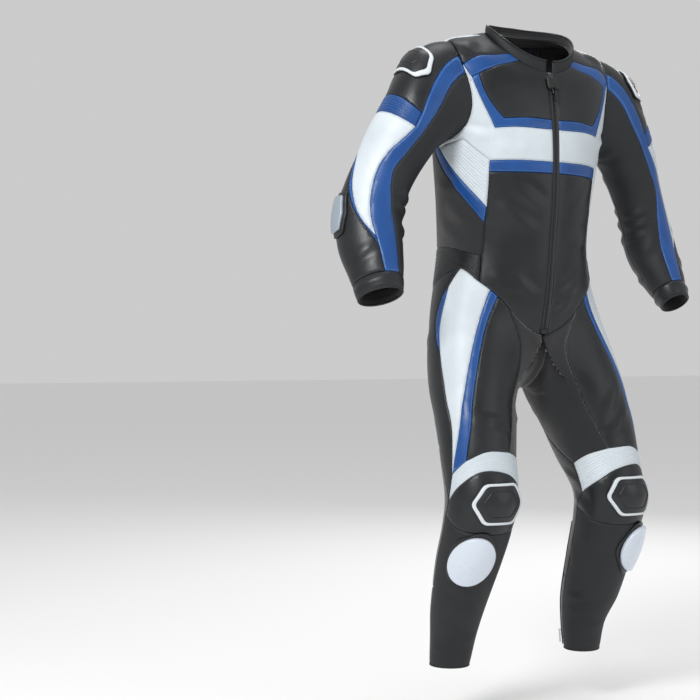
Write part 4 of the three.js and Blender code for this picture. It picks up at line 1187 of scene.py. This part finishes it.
def grid_piece(name, columns, rows, shape, wearer, closed=False):
    """An even grid whose shape(u, v) gives each point its place, for u and v from 0 to 1."""
    bm = bmesh.new()
    bmesh.ops.create_grid(bm, x_segments=columns, y_segments=rows, size=0.5)
    flat = flat_places(bm)
    u, v = ((flat - flat.min(axis=0)) / np.ptp(flat, axis=0)).T
    return laid_on(bm, name, shape(u, v), wearer, closed)


def along_rail(line, share):
    """Places on a rail at shares of the way along it."""
    at = share * (len(line) - 1)
    return np.stack([np.interp(at, np.arange(len(line)), line[:, k]) for k in (0, 1)], axis=-1)


def rail_length(sheet, line):
    spots, _ = placed(sheet, line[:, 0], line[:, 1])
    return float(np.linalg.norm(np.diff(spots, axis=0), axis=1).sum())


def accordion(name, sheet, low, high, wearer, ribs, height, flat_middle=0.0):
    length = (rail_length(sheet, low) + rail_length(sheet, high)) / 2
    middles = np.array([along_rail(low, np.array(0.5)), along_rail(high, np.array(0.5))])
    span = rail_length(sheet, middles)

    def shape(u, v):
        around, along = (along_rail(low, u) * (1 - v)[:, None] + along_rail(high, u) * v[:, None]).T
        edge = np.minimum(np.minimum(u, 1 - u) * length, np.minimum(v, 1 - v) * span)
        strayed = v * ribs + RIB_WANDER * np.sin(5.1 * u + 1.9 * v * ribs + wearer) * np.sin(np.pi * v)
        rib = np.abs(np.sin(np.pi * strayed)) ** 0.7
        strength = height * (1 - flat_middle * (1 - np.abs(2 * u - 1) ** 1.5))
        rolled = SEAM_ROLL * np.clip(1 - edge / ROLL_WIDTH, 0, None)
        out = strength * rib * np.clip(edge / RIB_FADE, 0.15, 1) - rolled
        out = out + PLEAT_CREASES * creased(sheet, wearer, around, along)
        places, normals = placed(sheet, around, along, out)
        flat = np.column_stack([u * length, v * span])
        return {"places": places, "normals": normals, "flat": flat, "seam": edge, "run": u * length}

    columns = max(8, round(length / PLEAT_CELL))
    return thickened(grid_piece(name, columns, ribs * RIB_ROWS, shape, wearer), PLEAT_LEATHER)


ACCORDIONS = [
    ("chest_ribs", "torso", ["ribs_low"], ["ribs_high"], 13, 1.9, 0, "white ribs", "chest_accordion"),
    ("shoulder_ribs", "torso", ["shoulder_ribs"], ["armhole_ribs"], 9, 2.0, 0, "white ribs",
     "shoulder_accordion"),
    ("sleeve_ribs", "sleeve", ["upper_low"], ["sleeve_ribs_low"], 7, 1.5, 0, "blue ribs", "sleeve_accordion"),
    ("knee_ribs", "leg", ["knee_high_blue", "knee_high_front", "knee_high_inner"], ["knee_low"], 10, 2.3, 0.6,
     "white ribs", "knee_accordion"),
    ("waist_ribs", "torso", ["hip_waist"], ["waist_high"], 13, 1.5, 0, "black ribs", "side"),
]


def same_way(sheet, low, high):
    """The high rail, turned round if its ends lie nearer the low rail's other ends."""
    straight = np.linalg.norm(low[0] - high[0]) + np.linalg.norm(low[-1] - high[-1])
    crossed = np.linalg.norm(low[0] - high[-1]) + np.linalg.norm(low[-1] - high[0])
    return high if straight <= crossed else high[::-1]


for name, sheet, low_names, high_names, ribs, height, flat_middle, finish, node in ACCORDIONS:
    low = rail(sheet, low_names)
    high = same_way(sheet, low, rail(sheet, high_names))
    for side, wearer in SIDES.items():
        piece = accordion(f"{name}_{side}", sheet, low, high, wearer, ribs, height, flat_middle)
        finish_with(piece, finish)
        declare_cloth(piece, f"{node}_{side}")
low = rail("torso", ["hip_back", "-hip_back"])
high = same_way("torso", low, rail("torso", ["lumbar_low", "-lumbar_low"]))
piece = accordion("lumbar_ribs", "torso", low, high, 1, 9, 1.8)
finish_with(piece, "black ribs")
declare_cloth(piece, "lumbar_accordion")
print("accordion panels", 2 * len(ACCORDIONS) + 1)

# %% [markdown]
# Cuffs, the collar and every open edge. An open edge is bound with a strip that is rolled over it,
# which is a slim tube along the edge.

# %% Cuffs, collar and bound edges
BOUND_SIDES = 10


def band(name, sheet, start, end, low, high, wearer, thickness=LEATHER, puff=1.0, sunk=0.0, closed=False):
    """A strip of leather round a limb or the neck, between two places along the sheet."""
    degree, step = metric(sheet, (start + end) / 2, (low + high) / 2)
    length, height = (end - start) * degree, abs(high - low) * step

    def shape(u, v):
        around, along = start + (end - start) * u, low + (high - low) * v
        edge = np.minimum(v, 1 - v) * height
        if not closed:
            edge = np.minimum(edge, np.minimum(u, 1 - u) * length)
        out = puff * (1 - np.exp(-edge / 6)) - SEAM_ROLL * np.clip(1 - edge / ROLL_WIDTH, 0, None)
        places, normals = placed(sheet, around, along, out - sunk + creased(sheet, wearer, around, along))
        flat = np.column_stack([u * length, v * height])
        return {"places": places, "normals": normals, "flat": flat, "seam": edge, "run": u * length}

    columns, rows = max(12, round(length / 6)), max(4, round(height / 4))
    return thickened(grid_piece(name, columns, rows, shape, wearer, closed), thickness)


def bound_edge(name, sheet, start, end, along, radius, wearer, out=-1.0, closed=True):
    """A rolled strip along an edge that runs round a sheet."""
    degree, _ = metric(sheet, (start + end) / 2, along)
    length = abs(end - start) * degree

    def shape(u, v):
        around = start + (end - start) * u
        here = np.full_like(around, along)
        middle, normal = placed(sheet, around, here, out)
        above, _ = placed(sheet, around, here + STEPS[sheet], out)
        up = set_length(above - middle, 1)
        turn = 2 * np.pi * v[:, None]
        spoke = normal * np.cos(turn) + up * np.sin(turn)
        flat = np.column_stack([u * length, v * 2 * np.pi * radius])
        ridge = np.abs(v - 0.5) * 2 * np.pi * radius
        places = middle + radius * spoke
        return {"places": places, "normals": spoke, "flat": flat, "seam": ridge, "run": u * length}

    return grid_piece(name, max(12, round(length / 7)), BOUND_SIDES, shape, wearer, closed)


COLLAR_GAP = 4.5  # degrees, half of the opening at the front
COLLAR_FOOT = -0.25  # below the neck edge, so that no gap shows there
EDGE_RADIUS = 2.2
for side, wearer in SIDES.items():
    cuff = band(f"cuff_{side}", "sleeve", -105, 255, CUFF_SEAM, CUFF_END - 2, wearer, puff=1.6, closed=True)
    finish_with(cuff, "black")
    declare_cloth(cuff, f"sleeve_arm_{side}")
    edges = [("cuff_edge", "sleeve", CUFF_END - 2, "sleeve_arm"), ("hem_edge", "leg", HEM_END + 1, "shin")]
    for name, sheet, along, node in edges:
        piece = bound_edge(f"{name}_{side}", sheet, -105, 255, along, EDGE_RADIUS, wearer)
        finish_with(piece, "matte black", lined=False)
        declare_cloth(piece, f"{node}_{side}")
collar = band("collar_band", "collar", COLLAR_GAP, 360 - COLLAR_GAP, COLLAR_FOOT, 0.9, 1,
              thickness=3 * MM, puff=1.2)
finish_with(collar, "matte black")
declare_cloth(collar, "collar")
piece = bound_edge("collar_edge", "collar", COLLAR_GAP, 360 - COLLAR_GAP, 0.92, 2.0, 1, out=-1.5,
                   closed=False)
finish_with(piece, "black", lined=False)
declare_cloth(piece, "collar")
facing = band("neck_facing", "torso", ZIP_EDGE, 360 - ZIP_EDGE, NECK - 24, NECK + 5, 1, thickness=1 * MM,
              puff=0.0, sunk=2.8)
finish_with(facing, "tape")
declare_cloth(facing, "collar")

CROTCH_HALF = 15  # millimetres, half the width of the strip under the crotch
CROTCH_LENGTH = 400
CROTCH_SLOPE = 0.2
CROTCH_OUT = 1.6  # off the middle line
RISE_STEP = 0.01


def crotch_shape(u, v):
    """A strip on the middle line from the front panel's tip under the crotch to the seat."""
    here = points(0, smooth(RISE, "y", u), smooth(RISE, "height", u))
    ahead = points(0, smooth(RISE, "y", u + RISE_STEP), smooth(RISE, "height", u + RISE_STEP)) - here
    along = set_length(ahead, 1)
    normal = points(0, along[:, 2], -along[:, 1])
    aside = (2 * v - 1) * CROTCH_HALF
    drop = CROTCH_OUT + CROTCH_SLOPE * np.abs(aside)
    places = here + points(aside, 0, 0) + normal * drop[:, None]
    width = 2 * CROTCH_HALF
    run = u * CROTCH_LENGTH
    edge = np.minimum(v, 1 - v) * width
    return {"places": places, "normals": normal, "flat": np.column_stack([v * width, run]), "seam": edge,
            "run": run}


piece = thickened(grid_piece("crotch_strip", 60, 8, crotch_shape, 1), 1.6 * MM)
finish_with(piece, "stretch")
declare_cloth(piece, "leg_stretch_left")
print("cuffs, hems and collar are bound")

# %% [markdown]
# Hard parts. A cup or slider has a rounded outline round its middle, and a profile that says how
# far out its surface lies at each share of the way from the middle to the outline. A rim is a
# closed ring of its own, because it is moulded in another colour.

# %% Cups and sliders
ARC_POINTS = 7
SIDE_SHARES = (0.2, 0.4, 0.6, 0.8)


def hexagon(wide, high, cut):
    return np.array([[wide, 0], [cut, high], [-cut, high], [-wide, 0], [-cut, -high], [cut, -high]], float)


def rounded(corners, radius):
    """Swings an arc round each corner, and adds points along the straight sides."""
    spots = []
    for k, corner in enumerate(corners):
        arriving = set_length(corners[k - 1] - corner, radius)
        leaving = set_length(corners[(k + 1) % len(corners)] - corner, radius)
        for t in np.linspace(0, 1, ARC_POINTS):
            spots.append(corner + arriving * (1 - t) ** 2 + leaving * t**2)
        far = corners[(k + 1) % len(corners)] + set_length(corner - corners[(k + 1) % len(corners)], radius)
        for t in SIDE_SHARES:
            spots.append((corner + leaving) * (1 - t) + far * t)
    return np.array(spots)


def lobed(half_wide, half_high, lobes, depth, count=72):
    """An oval outline that bulges out in a number of soft lobes."""
    turn = np.linspace(0, 2 * np.pi, count, endpoint=False)
    reach = 1 + depth * np.cos(lobes * turn + np.pi)
    return np.column_stack([half_wide * reach * np.cos(turn), half_high * reach * np.sin(turn)])


def moulded(name, sheet, at, outline_mm, rings, wearer, closed_section=False):
    """A moulded part on a sheet: rings of (share, out), from its middle outwards or right round a rim."""
    degree, step = metric(sheet, *at)
    bm = bmesh.new()
    rows = []
    for share, out in rings:
        spots = outline_mm * share
        places, _ = placed(sheet, at[0] + spots[:, 0] / degree, at[1] + spots[:, 1] / step, out)
        rows.append([bm.verts.new(place) for place in places])
    pairs = list(zip(rows, rows[1:])) + ([(rows[-1], rows[0])] if closed_section else [])
    for inner, outer in pairs:
        for k in range(len(inner)):
            bm.faces.new((inner[k - 1], inner[k], outer[k], outer[k - 1]))
    if not closed_section:
        bmesh.ops.contextual_create(bm, geom=rows[0])
        bmesh.ops.contextual_create(bm, geom=rows[-1])
    return moved_to_suit(bm, name, wearer)


def moved_to_suit(bm, name, wearer, smooth_faces=True):
    """Turns millimetres above the ground into the frame's metres, on either side of the wearer."""
    for v in bm.verts:
        v.co = (v.co.x * wearer * MM, v.co.y * MM, v.co.z * MM - NECK_HEIGHT)
    bmesh.ops.recalc_face_normals(bm, faces=bm.faces[:])
    for face in bm.faces:
        face.smooth = smooth_faces
    return as_object(bm, name)


DOME_SHARES = (0.12, 0.3, 0.5, 0.68, 0.82, 0.92, 0.97)


def dome(height, rim, lift):
    """Rings of a shell: a low dome, an edge that turns down, and a flat underside."""
    top = [(share, lift + rim + (height - rim) * math.cos(share * math.pi / 2)) for share in DOME_SHARES]
    return top + [(1.0, lift + 0.55 * rim), (1.0, lift), (DOME_SHARES[-1], lift), (DOME_SHARES[0], lift)]


def rim_rings(inner, outer, low, high):
    """Rings right round the section of a raised rim."""
    middle = (inner + outer) / 2
    return [
        (inner, low),
        (inner, high * 0.7 + low * 0.3),
        (inner * 0.7 + middle * 0.3, high),
        (middle, high + 0.4),
        (outer * 0.7 + middle * 0.3, high),
        (outer, high * 0.6 + low * 0.4),
        (outer, low),
    ]


SHOULDER = rounded(hexagon(60, 34, 42), 9)
ELBOW = rounded(hexagon(26, 48, 17), 7)
KNEE = rounded(hexagon(64, 41, 35), 10)
PUCK = lobed(43, 55, 2, 0.0)
PUCK_PAD = lobed(50, 62, 5, 0.05)
MOULDED = [
    ("shoulder_shell", "sleeve", (90, 50), SHOULDER, dome(9, 4, 1.7), "black plastic", "shoulder_cup"),
    ("shoulder_rim", "sleeve", (90, 50), SHOULDER, rim_rings(0.80, 0.98, 4.2, 7.6), "pale plastic",
     "shoulder_cup"),
    ("shoulder_vent", "sleeve", (90, 50), SHOULDER, rim_rings(0.40, 0.46, 8.6, 10.2), "black plastic",
     "shoulder_cup"),
    ("elbow_shell", "sleeve", (98, 313), ELBOW, dome(9, 5, 0.8), "black plastic", "elbow_cup"),
    ("elbow_slider", "sleeve", (98, 313), ELBOW * 0.78, dome(9, 6, 6.2), "silver plastic", "elbow_cup"),
    ("knee_shell", "leg", (3, 466), KNEE, dome(9, 4, 2.6), "black plastic", "knee_cup"),
    ("knee_rim", "leg", (3, 466), KNEE, rim_rings(0.82, 0.95, 5.2, 8.8), "pale plastic", "knee_cup"),
    ("knee_boss", "leg", (3, 466), KNEE, rim_rings(0.56, 0.62, 9.0, 10.8), "black plastic", "knee_cup"),
    ("puck_pad", "leg", (32, 352), PUCK_PAD, [(1.0, 2.0), (1.0, 4.0), (0.97, 4.6), (0.3, 4.6), (0.3, 2.0)],
     "black ribs", "knee_puck"),
    ("puck_shell", "leg", (32, 352), PUCK, dome(14, 8, 4.8), "pearl plastic", "knee_puck"),
]


# %% Hard finishes
def make_plastic(name, base, roughness, metallic=0.0, coat=0.0, scratches=0.08):
    """Moulded plastic or metal, with fine scratches that change its roughness and its surface."""
    material, tree, shader = new_material(name, base_color=base, metallic=metallic, coat_weight=coat,
                                          coat_roughness=0.25)
    place = add(tree, "ShaderNodeTexCoord").outputs["Object"]
    cloud = add(tree, "ShaderNodeTexNoise", {"Vector": place, "Scale": 60.0, "Detail": 5.0}).outputs["Fac"]
    fine = add(tree, "ShaderNodeTexNoise", {"Vector": place, "Scale": 900.0, "Detail": 2.0}).outputs["Fac"]
    spread = add(tree, "ShaderNodeMapRange", {"Value": cloud, "From Min": 0.3, "From Max": 0.7,
                                              "To Min": roughness * 0.85,
                                              "To Max": roughness * 1.25}).outputs["Result"]
    tree.links.new(spread, shader.inputs["Roughness"])
    tree.links.new(bump(tree, fine, scratches, 0.0003), shader.inputs["Normal"])
    return material


FINISHES.update({
    "black plastic": (make_plastic("black moulded plastic", colour(0.008, 0.009, 0.011), 0.34),
                      "black_plastic"),
    "pale plastic": (make_plastic("white moulded rubber", colour(0.62, 0.66, 0.69), 0.42), "pale_plastic"),
    "pearl plastic": (make_plastic("pearl slider plastic", colour(0.60, 0.66, 0.74), 0.3, coat=0.3),
                      "pale_plastic"),
    "silver plastic": (make_plastic("silver slider plastic", colour(0.36, 0.42, 0.48), 0.34, metallic=0.45),
                       "silver_plastic"),
    "dark metal": (make_plastic("dark metal", colour(0.05, 0.052, 0.056), 0.34, metallic=1.0), "dark_metal"),
    "silver metal": (make_plastic("silver metal", colour(0.55, 0.57, 0.6), 0.28, metallic=1.0),
                     "silver_metal"),
    "rubber": (make_plastic("black rubber", colour(0.007, 0.0075, 0.0085), 0.5), "black_plastic"),
})


def declare_hard(piece, finish, node=None, body="suit"):
    finish_with(piece, finish, lined=False)
    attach(piece, body)
    if node:
        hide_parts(node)


for name, sheet, at, outline_mm, rings, finish, node in MOULDED:
    is_rim = name.endswith(("rim", "vent", "boss"))
    for side, wearer in SIDES.items():
        piece = moulded(f"{name}_{side}", sheet, at, outline_mm, rings, wearer, is_rim)
        declare_hard(piece, finish, f"{node}_{side}")
print("moulded pieces", 2 * len(MOULDED))

# %% [markdown]
# Zips. The tape lies just under the leather's edges, two rows of teeth stand on it, and a slider
# carries the pin that the pull tab hangs from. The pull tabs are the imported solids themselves,
# because they are the parts that move.

# %% Zips
TOOTH = (2.6, 1.3, 1.6)  # millimetres: across, along and out
TOOTH_PITCH = 2.4
TOOTH_ASIDE = 0.9  # millimetres from the middle, left and right in turn
PIN = {"radius": 0.9, "up": 3, "out": 7.6, "half": 2}
LUG = {"across": 2.25, "low": (0.8, 4.0), "high": (5.2, 9.2), "thick": 1.1}


def seat_on(sheet, around, along):
    """A matrix in millimetres whose axes run across, up and out of a sheet."""
    here, normal = placed(sheet, around, along)
    ahead, _ = placed(sheet, around + TURN_STEP, along)
    across = set_length(ahead - here, 1)
    up = np.cross(normal, across)
    return Matrix(((across[0], up[0], normal[0], here[0]), (across[1], up[1], normal[1], here[1]),
                   (across[2], up[2], normal[2], here[2]), (0, 0, 0, 1)))


def add_box(bm, seat, low, high):
    """A box between two corners in a seat's axes. Returns its vertices."""
    low, high = Vector(low), Vector(high)
    size = high - low
    fitted = seat @ Matrix.Translation((low + high) / 2) @ Matrix.Diagonal((*size, 1))
    return bmesh.ops.create_cube(bm, size=1, matrix=fitted)["verts"]


def soften(bm, verts, width, segments=2):
    edges = list({edge for v in verts for edge in v.link_edges})
    bmesh.ops.bevel(bm, geom=edges, offset=width, segments=segments, profile=0.5, affect="EDGES", material=-1)


def teeth(name, sheet, around, low, high, out, wearer):
    degree, step = metric(sheet, around, (low + high) / 2)
    bm = bmesh.new()
    count = int((high - low) * step / TOOTH_PITCH)
    for k in range(count):
        side = 1 if k % 2 else -1
        seat = seat_on(sheet, around + side * TOOTH_ASIDE / degree, low + (k + 0.5) * (high - low) / count)
        add_box(bm, seat, (-TOOTH[0] / 2, -TOOTH[1] / 2, out), (TOOTH[0] / 2, TOOTH[1] / 2, out + TOOTH[2]))
    return moved_to_suit(bm, name, wearer, smooth_faces=False)


def slider(name, seat, bottom, wearer):
    bm = bmesh.new()
    body = add_box(bm, seat, (-4.5, -8, bottom), (4.5, 8, 4.4))
    soften(bm, body, 1.2, 3)
    for side in (-1, 1):
        middle, half = side * LUG["across"], LUG["thick"] / 2
        lug = add_box(bm, seat, (middle - half, *LUG["low"]), (middle + half, *LUG["high"]))
        soften(bm, lug, 0.3)
    turned = seat @ Matrix.Translation((0, PIN["up"], PIN["out"])) @ Matrix.Rotation(math.pi / 2, 4, "Y")
    bmesh.ops.create_cone(bm, cap_ends=True, segments=16, radius1=PIN["radius"], radius2=PIN["radius"],
                          depth=2 * PIN["half"], matrix=turned)
    return moved_to_suit(bm, name, wearer, smooth_faces=False)


def zip_tape(name, sheet, around, half_degrees, low, high, out, wearer):
    degree, step = metric(sheet, around, (low + high) / 2)
    width, length = 2 * half_degrees * degree, (high - low) * step

    def shape(u, v):
        places, normals = placed(sheet, around + (2 * u - 1) * half_degrees, low + (high - low) * v, out)
        flat = np.column_stack([u * width, v * length])
        edge = np.minimum(u, 1 - u) * width
        return {"places": places, "normals": normals, "flat": flat, "seam": edge, "run": v * length}

    return thickened(grid_piece(name, 4, round(length / 8), shape, wearer), 0.8 * MM)


FRONT_ZIP = {"low": 804, "high": NECK + 2, "slider": 1372}
ANKLE_ZIP = {"turn": -140, "low": 124, "high": 402, "slider": 152}
tape = zip_tape("front_tape", "torso", 0, 3.0, FRONT_ZIP["low"], FRONT_ZIP["high"], -1.9, 1)
finish_with(tape, "tape")
declare_cloth(tape, "front_zip")
row = teeth("front_teeth", "torso", 0, FRONT_ZIP["low"] + 8, FRONT_ZIP["slider"], -1.7, 1)
declare_hard(row, "dark metal", "front_zip")
front_seat = seat_on("torso", 0, FRONT_ZIP["slider"])
declare_hard(slider("front_slider", front_seat, -1.4, 1), "dark metal", "front_zip")
for side, wearer in SIDES.items():
    turn, low, high = ANKLE_ZIP["turn"], ANKLE_ZIP["low"], ANKLE_ZIP["high"]
    tape = zip_tape(f"ankle_tape_{side}", "leg", turn, 7.0, low, high, 3.0, wearer)
    finish_with(tape, "tape")
    declare_cloth(tape, f"ankle_zip_{side}")
    row = teeth(f"ankle_teeth_{side}", "leg", turn, low + 4, high - 4, 2.9, wearer)
    declare_hard(row, "silver metal", f"ankle_zip_{side}")
    seat = seat_on("leg", turn, ANKLE_ZIP["slider"])
    declare_hard(slider(f"ankle_slider_{side}", seat, 2.4, wearer), "silver metal", f"ankle_zip_{side}")

ZIP_PADS = [
    ("zip_garage", 1396, (-15, -13, 0.2), (15, 13, 6.2), 3.0, 4),
    ("zip_end_tab", 808, (-8, -5, -1.0), (8, 5, 1.6), 1.2, 3),
]
for name, along, low, high, rounding, segments in ZIP_PADS:
    bm = bmesh.new()
    soften(bm, add_box(bm, seat_on("torso", 0, along), low, high), rounding, segments)
    declare_hard(moved_to_suit(bm, name, 1), "rubber")
for name, finish in (("front_zip_pull", "dark metal"), ("ankle_zip_pull_left", "silver metal"),
                     ("ankle_zip_pull_right", "silver metal")):
    bpy.data.objects[name].material_slots[0].material = FINISHES[finish][0]
print("zips closed, with their pulls hanging")

# %% [markdown]
# A plain pale floor under the suit, a pale world, and large soft lights: a key from the wearer's
# right, a weak fill in front, one above for the shoulders and one behind for the far edges.

# %% Studio
FLOOR = -NECK_HEIGHT
AIM = Vector((0, 0, -0.55))  # the middle of the suit, where every light points


def studio_floor():
    bm = bmesh.new()
    bmesh.ops.create_grid(bm, x_segments=1, y_segments=1, size=30.0)
    mesh = bpy.data.meshes.new("floor")
    bmesh.ops.translate(bm, verts=bm.verts[:], vec=(0, 0, FLOOR))
    bm.to_mesh(mesh)
    bm.free()
    floor = bpy.data.objects.new("floor", mesh)
    bpy.context.scene.collection.objects.link(floor)
    material, _, _ = new_material("pale floor", base_color=colour(0.9, 0.9, 0.9), roughness=0.9)
    mesh.materials.append(material)


def soft_light(name, place, size, watts):
    light = bpy.data.lights.new(name, "AREA")
    light.shape = "DISK"
    light.size = size
    light.energy = watts
    lamp = bpy.data.objects.new(name, light)
    bpy.context.scene.collection.objects.link(lamp)
    lamp.location = place
    lamp.rotation_euler = (AIM - Vector(place)).to_track_quat("-Z", "Y").to_euler()


studio_floor()
soft_light("key", (-2.9, -1.6, 1.5), 1.2, 88)
soft_light("fill", (1.6, -3.2, 0.2), 2.4, 14)
soft_light("top", (0.2, 0.2, 2.6), 1.6, 20)
soft_light("rim", (2.2, 2.0, 0.8), 1.4, 26)
world = bpy.data.worlds.new("pale world")
world.use_nodes = True
world.node_tree.nodes["Background"].inputs["Color"].default_value = colour(1.0, 1.0, 1.0)
world.node_tree.nodes["Background"].inputs["Strength"].default_value = 0.6
bpy.context.scene.world = world
bpy.context.scene.view_settings.view_transform = "Standard"
